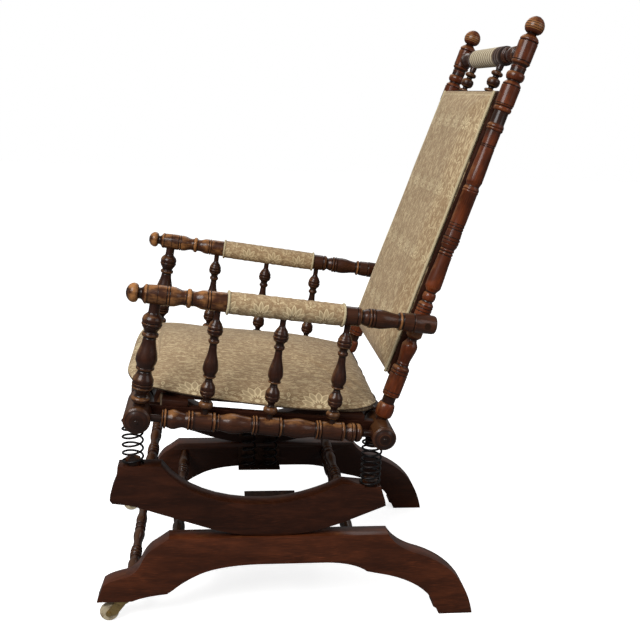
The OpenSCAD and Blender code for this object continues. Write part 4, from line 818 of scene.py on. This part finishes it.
def swollen(obj, cap, held, voxel=0.0):
    """A stuffed piece: made even cells where a voxel is given, and swelled as cloth under pressure while the
    points that held() picks stay put. No point moves further than the cap. Even cells are then subdivided."""
    if voxel:
        cells = obj.modifiers.new("Cells", "REMESH")
        cells.mode, cells.voxel_size = "VOXEL", voxel
        applied(obj)
    start = positions(obj)
    scene, last, pressure, stiffness, bending = bpy.context.scene, 20, 4.0, 20, 1.5
    group = obj.vertex_groups.new(name="held")
    group.add(np.flatnonzero(held(start)).tolist(), 1.0, "REPLACE")
    cloth = obj.modifiers.new("Cloth", "CLOTH")
    cloth.settings.use_pressure = True
    cloth.settings.uniform_pressure_force = pressure
    cloth.settings.effector_weights.gravity = 0
    cloth.settings.vertex_group_mass = "held"
    cloth.settings.tension_stiffness = cloth.settings.compression_stiffness = stiffness
    cloth.settings.bending_stiffness = bending
    cloth.point_cache.frame_start, cloth.point_cache.frame_end = 1, last
    for number in range(1, last + 1):
        scene.frame_set(number)
    applied(obj)
    scene.frame_set(1)
    moved = positions(obj) - start
    far = np.linalg.norm(moved, axis=1, keepdims=True)
    settle(obj, start + moved * np.minimum(1, cap / np.maximum(far, 1e-9)))
    obj.vertex_groups.clear()
    smooth = obj.modifiers.new("Even", "SMOOTH")
    smooth.factor, smooth.iterations = 0.5, 3
    if voxel:
        fine = obj.modifiers.new("Fine", "SUBSURF")
        fine.levels = fine.render_levels = 1
    applied(obj)
    obj.data.shade_smooth()
    return obj


class Maker:
    """What all the operators share: registered in the user's undo list, and run on the frame."""
    bl_options = {"REGISTER", "UNDO"}

    def execute(self, context):
        self.make(*(getattr(context.scene, group) for group in GROUPS))
        return {"FINISHED"}


class ROCKER_OT_materials(Maker, bpy.types.Operator):
    """Make every material"""
    bl_idname = "rocker.materials"
    bl_label = "Materials"

    def make(self, timber, cloth, metals, stage):
        for key, rub, gloss, patchy, more in WOODS:
            wood(key, timber, rub, gloss, patchy, **more)
        # The seat cover's last value is the height up its side below which painted shade lies
        tapestry("cover_seat", cloth, [(0.008, 0.044, 9)], 0.8, None, (0.4, 1.0), 0.06)
        tapestry("cover_back", cloth, [(0.03, 0.026, 7)], 0.75, 0.12, (1.0, 0.36))
        tapestry("cover_sleeve", cloth, [(0.003, 0.026, 7)], 0.6, 0.05, (0.6, 0.8))
        # The winding's tone darkens into the grooves between the cord's turns: painted shade
        cording("winding", linear(204, 190, 160), linear(112, 94, 68), WINDING_PITCH, 0.0)
        cording("winding_dark", linear(78, 54, 40), timber.wax_and_shade, WINDING_PITCH, 0.0)
        cording("piping", cloth.cord, shaded(cloth.cord, 0.5))
        cording("piping_dark", cloth.dark_cord, timber.wax_and_shade)
        jute("webbing", cloth.webbing)
        metal("spring_steel", metals.spring, linear(52, 36, 28), 0.32, 0.6)
        metal("old_iron", metals.iron, linear(84, 54, 38), 0.42, 0.8)
        metal("old_bolt", linear(70, 46, 32), timber.wax_and_shade, 0.4, 0.5)
        metal("old_brass", metals.brass, linear(96, 76, 48), 0.3, 0.7)
        porcelain("wheel", metals.wheel, linear(120, 94, 64))


class ROCKER_OT_boards(Maker, bpy.types.Operator):
    """Dress the sawn boards"""
    bl_idname = "rocker.boards"
    bl_label = "Boards"

    def make(self, timber, cloth, metals, stage):
        """Each board is its CAD node with doubles merged, flat faces made whole, and softly rounded edges.
        The rails' and rockers' inner faces are never rubbed and carry painted shade, darkest under the middle
        of the seat."""
        flat, corner, crease = (math.radians(angle) for angle in (0.4, 32, 35))
        seat_shade_l = 0.24
        for key, names in BOARDS.items():
            for node in names:
                points, tris = merged(node)
                obj = build(node + "_board", points, tris)
                reshaped(obj, lambda work: bmesh.ops.dissolve_limit(
                    work, angle_limit=flat, verts=work.verts, edges=work.edges))
                edge = obj.modifiers.new("Edges", "BEVEL")
                edge.width, edge.segments, edge.limit_method = timber.edge, 2, "ANGLE"
                edge.angle_limit = corner
                applied(obj)
                obj.data.shade_smooth()
                obj.data.set_sharp_from_angle(angle=crease)
                points, normal = positions(obj), normals(obj)
                carry(obj, "grain", np.stack((points[:, 1], points[:, 2], points[:, 0]), 1))
                carry(obj, "top", np.clip(normal[:, 2], 0, 1) * 0.5)
                if key in ("wood_base", "wood_rockers"):
                    # Painted shade on the rails' and rockers' inner faces, darkest under the middle of the
                    # seat
                    inner = np.clip(-normal[:, 1] * np.sign(points[:, 1]), 0, 1)
                    carry(obj, "wear", -inner * (0.45 + 0.5 * np.exp(-(points[:, 0] / seat_shade_l) ** 2)))
                use(obj, material(key))
                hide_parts(node)
                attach(obj, NODES[node]["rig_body"])


class ROCKER_OT_turned(Maker, bpy.types.Operator):
    """Dress the turned pieces"""
    bl_idname = "rocker.turned"
    bl_label = "Turned pieces"

    def make(self, timber, cloth, metals, stage):
        """Each turned piece is its CAD node with its doubles merged. It carries its grain, wear and wax."""
        for key, names in TURNED.items():
            for node in names:
                points, tris = merged(node)
                obj = build(node + "_turned", points, tris, 48)
                for name, values in turned_values(points, tris).items():
                    carry(obj, name, values)
                use(obj, material(key))
                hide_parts(node)
                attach(obj, NODES[node]["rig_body"])


class ROCKER_OT_springs(Maker, bpy.types.Operator):
    """Wind the springs"""
    bl_idname = "rocker.springs"
    bl_label = "Springs"

    def make(self, timber, cloth, metals, stage):
        """Each spring is a round wire on a helix: its angle runs evenly, and its height is the sum of a rate
        that is level at both ends and steady between them, so that the end curls lie flat."""
        for end, curls in (("front", 6), ("rear", 8)):
            for node in both(f"corner_spring_{end}"):
                low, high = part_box(node)
                self.wind(node, node + "_wire", low, high, CORNER_WIRE, curls, metals, "rockers", "seat")
        for node in both("platform_springs"):
            low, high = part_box(node)
            wide = high.y - low.y
            for number, x in enumerate((low.x, high.x - wide)):
                first, last = Vector((x, low.y, low.z)), Vector((x + wide, high.y, high.z))
                self.wind(node, f"{node}_wire_{number + 1}", first, last, PLATFORM_WIRE, 6, metals, "base",
                          "rockers")

    def wind(self, node, name, low, high, wire, curls, metals, below, above):
        """One spring that fills a box."""
        steps, flat_turn, least_rate = curls * 32, 0.55, 0.04
        k = np.linspace(0, 1, steps + 1)
        soft = flat_turn / curls
        s = np.clip(np.minimum(k, 1 - k) / soft, 0, 1)
        rate = s * s * (3 - 2 * s) + least_rate
        rise = np.concatenate(([0], np.cumsum((rate[1:] + rate[:-1]) / 2)))
        rise /= rise[-1]
        radius = (high.y - low.y - wire) / 2
        angle = math.tau * curls * k
        out = np.stack((np.cos(angle), np.sin(angle), np.zeros_like(angle)), 1)
        middle = (low + high) / 2
        height = low.z + wire / 2 + (high.z - low.z - wire) * rise
        path = out * radius + np.stack(np.broadcast_arrays(middle.x, middle.y, height), 1)
        obj = tube(name, path, wire / 2, out, metals.wire_sides)
        use(obj, material("spring_steel"))
        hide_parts(node)
        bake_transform(obj)


class ROCKER_OT_metal(Maker, bpy.types.Operator):
    """Dress the brackets, screws, dishes and casters"""
    bl_idname = "rocker.metal"
    bl_label = "Metal"

    def make(self, timber, cloth, metals, stage):
        for names, key, slot in ((IRON, "old_iron", "iron"), (BRASS, "old_brass", "brass"),
                                 (WHEELS, "wheel", "brass"), (("arm_bolts",), "old_bolt", "iron"),
                                 (("seat_webbing",), "webbing", "jute")):
            for node in names:
                use(NODES[node], material(key))


class ROCKER_OT_cushion(Maker, bpy.types.Operator):
    """Stuff the seat cushion"""
    bl_idname = "rocker.cushion"
    bl_label = "Seat cushion"

    def make(self, timber, cloth, metals, stage):
        """The cushion's rings lie on a rounded plan, even in length round it. The edge drops towards the
        rear, where the cover is drawn down round the frame. The cover is held at and below the edge, and
        swells above; the cloth runs along the seat and up."""
        rings, around, middle = 38, CUSHION_AROUND, CUSHION_MIDDLE
        fine = np.linspace(0, math.tau, 40001)
        run = np.hypot(*np.diff(plan(fine))).cumsum()
        a = np.interp(np.arange(around) / around * run[-1], np.append(0, run), fine)
        flat, crown_h = 0.004, 0.0315
        under = [cushion_ring(a, k, flat) for k in np.linspace(0.05, 0.93, CUSHION_RIM - 2)]
        under += [cushion_ring(a, 0.965, 0.0032), cushion_ring(a, 0.985, 0.002)]
        over = [cushion_ring(a, k) for k in np.sin(np.linspace(math.pi / 2, 0.04, rings))]
        poles = [[middle, 0, seat_level(middle) + up] for up in (-flat, crown_h)]
        local = np.concatenate((*under, *over, poles))
        count = len(under) + len(over)
        faces = ring_quads(count - 1, around).tolist() + pole_fans(count - 1, around)
        obj = build("seat_cushion_cover", SEAT.outof(local), faces)
        face_out(obj)

        def held(points):
            number = np.arange(len(points))
            return (number < (CUSHION_RIM + 1) * around) | (number == count * around)
        swollen(obj, cloth.swell, held)
        local = SEAT.into(positions(obj))
        normal = SEAT.turn(normals(obj), -SEAT.tilt)
        x, y, z = local.T
        fade_z, fade_h, front_l, shift = 0.045, 0.02, 0.05, 0.02
        dent = np.sin(x * 31 + 1.3) * np.sin(y * 27 + 0.4) * 0.0011 + np.sin(x * 13 - y * 17) * 0.0014
        fade = np.clip((z - fade_z) / fade_h, 0, 1) * np.clip(normal[:, 2], 0, 1)
        local[:, 2] += dent * fade
        settle(obj, SEAT.outof(local))
        side_run = np.maximum(half_width(x) - np.abs(y), 0)
        height = np.maximum(z - edge_height(x), 0)
        ahead = (-normal[:, 0] > np.abs(normal[:, 1])) & (x < CUSHION_FRONT + front_l)
        u = np.where(ahead, y, x + shift)
        v = np.where(ahead, height + (x - CUSHION_FRONT), height + side_run)
        carry(obj, "cloth", np.stack((u, v, np.full(len(u), 0.5)), 1))
        use(obj, material("cover_seat"))
        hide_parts("seat_cushion")
        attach(obj, "seat")


class ROCKER_OT_panel(Maker, bpy.types.Operator):
    """Stuff the back panel"""
    bl_idname = "rocker.panel"
    bl_label = "Back panel"

    def make(self, timber, cloth, metals, stage):
        """The cover is drawn over the back frame: the CAD panel's form, made as wide and as high as the frame
        and brought in front of it. It is held at its back and swells in front; its cloth runs up the back,
        and carries its distance below the top edge for the row of stitches."""
        thick, wider, longer, before, held_l = 0.0075, 0.0135, 0.001, 0.0015, 0.0055
        points, tris = merged("back_panel")
        local = BACK.into(points)
        local[:, 0] = np.minimum(local[:, 0], -thick)
        frame_points = BACK.into(merged("back_frame")[0])
        low, high = local[:, 2].min(), local[:, 2].max()
        share = (local[:, 2] - low) / (high - low)
        inner = np.interp(local[:, 2], *half_widths(local))
        local[:, 1] *= (inner + wider) / inner
        local[:, 2] = frame_points[:, 2].min() - longer + share * (np.ptp(frame_points[:, 2]) + 2 * longer)
        local[:, 0] -= before
        deep = local[:, 0].max()
        obj = build("back_panel_cover", BACK.outof(local), tris)

        def held(points):
            return BACK.into(points)[:, 0] > deep - held_l
        swollen(obj, cloth.swell * 0.5, held, cloth.voxel)
        local = BACK.into(positions(obj))
        y, up = local.T[1:]
        carry(obj, "cloth", np.stack((y, up, up.max() - up), 1))
        use(obj, material("cover_back"))
        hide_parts("back_panel")
        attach(obj, "seat")


class ROCKER_OT_sleeves(Maker, bpy.types.Operator):
    """Wrap the sleeves round the arms and the crest rail"""
    bl_idname = "rocker.sleeves"
    bl_label = "Sleeves"

    def make(self, timber, cloth, metals, stage):
        for node in both("arm_sleeve"):
            self.wrap(node, cloth)
        self.wind()

    def wind(self):
        """The crest rail's winding: a surface whose radius rises and falls with each turn of the cord, pale
        over its middle and dark at its ends."""
        points = merged("crest_sleeve")[0]
        middle, way = axis_of(points)
        way = way if way[1] > 0 else -way
        along = (points - middle) @ way
        middle = middle + way * (along.min() + along.max()) / 2
        reach = np.ptp(along) / 2
        pale_from, pale_to, inner_r, end_r, rib, row_l = -0.056, 0.079, 0.0152, 0.0142, 0.0018, 0.0006
        for name, low, high, key in (("near", -reach, pale_from, "winding_dark"),
                                     ("middle", pale_from, pale_to, "winding"),
                                     ("far", pale_to, reach, "winding_dark")):
            rows = int((high - low) / row_l)
            s = np.linspace(low, high, rows + 1)
            size = inner_r + rib * np.abs(np.sin(math.pi * (s - low) / WINDING_PITCH)) ** 0.5
            size[[0, -1]] = end_r
            obj = tube("crest_winding_" + name, middle + way * s[:, None], size, UP, 48, turn_l=0.1)
            use(obj, material(key))
            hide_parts("crest_sleeve")
            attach(obj, "seat")

    def wrap(self, node, cloth):
        """An arm's wrap: a cover round the arm's own axis, with a cord at each end."""
        points = merged(node)[0]
        middle, way = axis_of(points)
        if way[0] + way[1] < 0:
            way = -way
        along = (points - middle) @ way
        low, high = along.min(), along.max()
        down = way * (UP @ way) - UP
        down /= np.linalg.norm(down)
        side = np.cross(way, down)
        self.cover(node, middle, way, down, side, low, high)
        ring, sunk = np.linspace(0, math.tau, 72, endpoint=False), 0.0002
        spoke = np.cos(ring)[:, None] * down + np.sin(ring)[:, None] * side
        for number, where in enumerate((low + cloth.piping_r, high - cloth.piping_r)):
            cord = tube(f"{node}_cord_{number + 1}", middle + way * where + spoke * (SLEEVE_R - sunk),
                        cloth.piping_r, spoke, 12, closed=True)
            use(cord, material("piping"))
            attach(cord, "seat")

    def cover(self, node, middle, way, down, side, low, high):
        """A wrap's padded cover, from low to high along the arm's axis. Its radius is a flat-topped curve of
        its length, with slack creases from a few waves and a seam drawn in below it."""
        length, turns, row_l = high - low, 96, 0.002
        drawn_in, crease_h, seam_h = 0.045, 0.00022, 0.0009
        rows = int(length / row_l)
        angle = np.linspace(0, math.tau, turns, endpoint=False)
        share, angle = np.meshgrid(np.linspace(0, 1, rows + 1), angle, indexing="ij")
        outer = np.abs(share * 2 - 1)
        run = share * length
        crease = np.sin(run * 520 + 2 * np.sin(angle + 1)) + np.sin(run * 300 + 3 * angle)
        from_seam = (angle - math.pi) - math.pi * np.sign(angle - math.pi)
        seam = seam_h * np.exp(-from_seam ** 2 / 0.006)
        radius = SLEEVE_R * (1 - drawn_in * outer ** 10) + crease_h * crease * (1 - outer ** 6) - seam
        spokes = np.cos(angle)[..., None] * down + np.sin(angle)[..., None] * side
        wall = middle + way * (low + run)[..., None] + spokes * radius[..., None]
        points = np.concatenate((wall.reshape(-1, 3), [middle + way * low], [middle + way * high]))
        faces = ring_quads(rows, turns).tolist() + pole_fans(rows, turns)
        obj = build(node + "_cover", points, faces, 60)
        face_out(obj)
        v = math.pi * SLEEVE_R - np.abs(angle - math.pi) * SLEEVE_R
        value = np.stack((run, v, np.full_like(v, 0.5)), -1).reshape(-1, 3)
        carry(obj, "cloth", np.concatenate((value, [[0, 0, 0.5], [length, 0, 0.5]])))
        use(obj, material("cover_sleeve"))
        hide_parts(node)
        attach(obj, "seat")


class ROCKER_OT_piping(Maker, bpy.types.Operator):
    """Lay the piping along the cushion and the back panel"""
    bl_idname = "rocker.piping"
    bl_label = "Piping"

    def make(self, timber, cloth, metals, stage):
        self.cushion_cord()
        self.panel_cords(cloth.piping_r * 1.3)

    def cushion_cord(self):
        """The cord that follows the ring of points at the cover's edge, a little further in and down."""
        inset, down, cord_r = 0.0008, 0.001, 0.0016
        rim = positions(bpy.data.objects["seat_cushion_cover"])[CUSHION_RIM * CUSHION_AROUND:]
        path = SEAT.into(rim[:CUSHION_AROUND])
        way = np.roll(path, -1, 0) - np.roll(path, 1, 0)
        out = np.cross((0, 0, 1), way)
        path -= unit(out) * inset + np.array((0, 0, down))
        cord = tube("seat_cushion_cord", SEAT.outof(path), cord_r, UP, 8, closed=True)
        use(cord, material("piping_dark"))
        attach(cord, "seat")

    def panel_cords(self, radius):
        """The cords that join the foremost points of each slice of the panel's rim, on its left and right."""
        local = BACK.into(positions(bpy.data.objects["back_panel_cover"]))
        rim_w, slice_h, proud, aside, short, far = 0.006, 0.012, 0.0014, 0.0006, 0.001, 9.0
        ups = np.linspace(local[:, 2].min() + short, local[:, 2].max() - short, 120)
        wide = np.interp(ups, *half_widths(local))
        rim = local[np.abs(local[:, 1]) > np.interp(local[:, 2], *half_widths(local)) - rim_w]
        cell = np.clip(((rim[:, 2] - ups[0]) / slice_h).astype(int), 0, None)
        front = np.full(cell.max() + 1, far)
        np.minimum.at(front, cell, rim[:, 0])
        front = np.convolve(np.pad(front, 2, mode="edge"), np.ones(5) / 5, "valid")
        depth = np.interp(ups, ups[0] + (np.arange(len(front)) + 0.5) * slice_h, front)
        for name, hand in (("left", -1), ("right", 1)):
            path = BACK.outof(np.stack((depth + proud, hand * (wide + aside), ups), 1))
            cord = tube(f"back_panel_cord_{name}", path, radius, np.array((-1.0, 0, 0.3)), 12)
            use(cord, material("piping"))
            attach(cord, "seat")


class ROCKER_OT_stage(Maker, bpy.types.Operator):
    """Set the floor, the lights and the camera"""
    bl_idname = "rocker.stage"
    bl_label = "Stage"

    def make(self, timber, cloth, metals, stage):
        bpy.context.scene.view_settings.view_transform = "Standard"
        floor = build("floor", [(-9, -9, 0), (9, -9, 0), (9, 9, 0), (-9, 9, 0)], [(0, 1, 2, 3)])
        floor.data.materials.append(self.paper(stage))
        self.room(stage)
        for name, place, power, size in (("key", (-1.3, -1.5, 2.3), stage.key, 1.5),
                                         ("fill", (1.8, -1.4, 1.5), stage.fill, 1.3),
                                         ("rim", (0.4, 1.9, 2.2), stage.fill, 1.2)):
            self.lamp(name, Vector(place), power, size)
        self.camera(stage.lens, *map(math.radians, CAMERA_TURN))

    def room(self, stage):
        """Even light from all round, dimmer in reflections, and white where the camera sees it."""
        bpy.context.scene.world = bpy.data.worlds.new("room")
        net = Net(bpy.context.scene.world)
        ray = net.node("ShaderNodeLightPath")

        def glow(strength):
            inputs = {"Color": (1, 1, 1, 1), "Strength": strength}
            return net.value("ShaderNodeBackground", {}, inputs)
        seen = glow(stage.room)
        for strength, kind in ((stage.shine, "Is Glossy Ray"), (1.0, "Is Camera Ray")):
            seen = net.value("ShaderNodeMixShader", {}, {0: net.out(ray, kind), 1: seen, 2: glow(strength)})
        net.node("ShaderNodeOutputWorld", {}, {"Surface": seen})

    def lamp(self, name, place, power, size):
        """A soft square light that looks at the middle of the chair."""
        lamp = bpy.data.lights.new(name, "AREA")
        lamp.energy, lamp.size, lamp.shape = power, size, "SQUARE"
        obj = bpy.data.objects.new(name, lamp)
        obj.location = place
        obj.rotation_mode = "QUATERNION"
        obj.rotation_quaternion = (Vector((0, 0, 0.5)) - place).to_track_quat("-Z", "Y")
        bpy.context.scene.collection.objects.link(obj)

    def camera(self, focal, pitch, yaw, roll):
        """The photo's camera: it looks down by the pitch, to the right by the yaw, and leans by the roll."""
        ahead = Vector((math.sin(yaw) * math.cos(pitch), math.cos(yaw) * math.cos(pitch), -math.sin(pitch)))
        level = Vector((math.cos(yaw), -math.sin(yaw), 0))
        below = ahead.cross(level)
        right = level * math.cos(roll) + below * math.sin(roll)
        down = below * math.cos(roll) - level * math.sin(roll)
        lens = bpy.data.cameras.new("camera")
        lens.lens, lens.sensor_width, lens.sensor_fit = focal, 36, "HORIZONTAL"
        camera = bpy.data.objects.new("camera", lens)
        turn = Matrix((right, -down, -ahead)).transposed()
        camera.matrix_world = Matrix.Translation(CAMERA_PLACE) @ turn.to_4x4()
        bpy.context.scene.collection.objects.link(camera)
        bpy.context.scene.camera = camera

    def paper(self, stage):
        """The floor: pale paper, which the camera sees bright with its shadow, and which lights little."""
        net = painted("floor_paper")
        tone = net.mix(net.noise(net.place(), 3.0) * 0.02, stage.floor, (0.9, 0.9, 0.9))
        pale = net.value("ShaderNodeBsdfDiffuse", {}, {"Color": tone})
        dim = net.value("ShaderNodeBsdfDiffuse", {}, {"Color": (stage.bounce,) * 3 + (1.0,)})
        glow = net.value("ShaderNodeEmission", {}, {"Color": (1, 1, 1, 1), "Strength": stage.lift})
        bright = net.value("ShaderNodeAddShader", {}, {0: pale, 1: glow})
        camera = net.value("ShaderNodeLightPath", key="Is Camera Ray")
        chosen = net.value("ShaderNodeMixShader", {}, {0: camera, 1: dim, 2: bright})
        net.node("ShaderNodeOutputMaterial", {}, {"Surface": chosen})
        return net.owner


class ROCKER_PT_panel(bpy.types.Panel):
    """The rocker's tab in the sidebar"""
    bl_label = "Platform rocker"
    bl_idname = "ROCKER_PT_panel"
    bl_space_type = "VIEW_3D"
    bl_region_type = "UI"
    bl_category = "Rocker"

    def draw(self, context):
        for group in GROUPS:
            box = self.layout.box()
            settings = getattr(context.scene, group)
            for key in settings.bl_rna.properties.keys():
                if key not in ("rna_type", "name"):
                    box.prop(settings, key)
        for operator in OPERATORS:
            self.layout.operator(operator.bl_idname)


GROUPS = {"rocker_wood": ROCKER_PG_wood, "rocker_cloth": ROCKER_PG_cloth, "rocker_metal": ROCKER_PG_metal,
          "rocker_stage": ROCKER_PG_stage}
OPERATORS = (ROCKER_OT_materials, ROCKER_OT_boards, ROCKER_OT_turned, ROCKER_OT_springs, ROCKER_OT_metal,
             ROCKER_OT_cushion, ROCKER_OT_panel, ROCKER_OT_sleeves, ROCKER_OT_piping, ROCKER_OT_stage)


def register():
    """Adds the add-on's classes and settings."""
    for kind in (*GROUPS.values(), *OPERATORS, ROCKER_PT_panel):
        bpy.utils.register_class(kind)
    for key, kind in GROUPS.items():
        setattr(bpy.types.Scene, key, bpy.props.PointerProperty(type=kind))


def unregister():
    """Takes them away again."""
    for key in GROUPS:
        delattr(bpy.types.Scene, key)
    for kind in (ROCKER_PT_panel, *reversed(OPERATORS), *reversed(GROUPS.values())):
        bpy.utils.unregister_class(kind)


def main():
    """Runs the operators in order."""
    register()
    for operator in OPERATORS:
        group, name = operator.bl_idname.split(".")
        getattr(getattr(bpy.ops, group), name)()


if __name__ == "__main__":
    main()
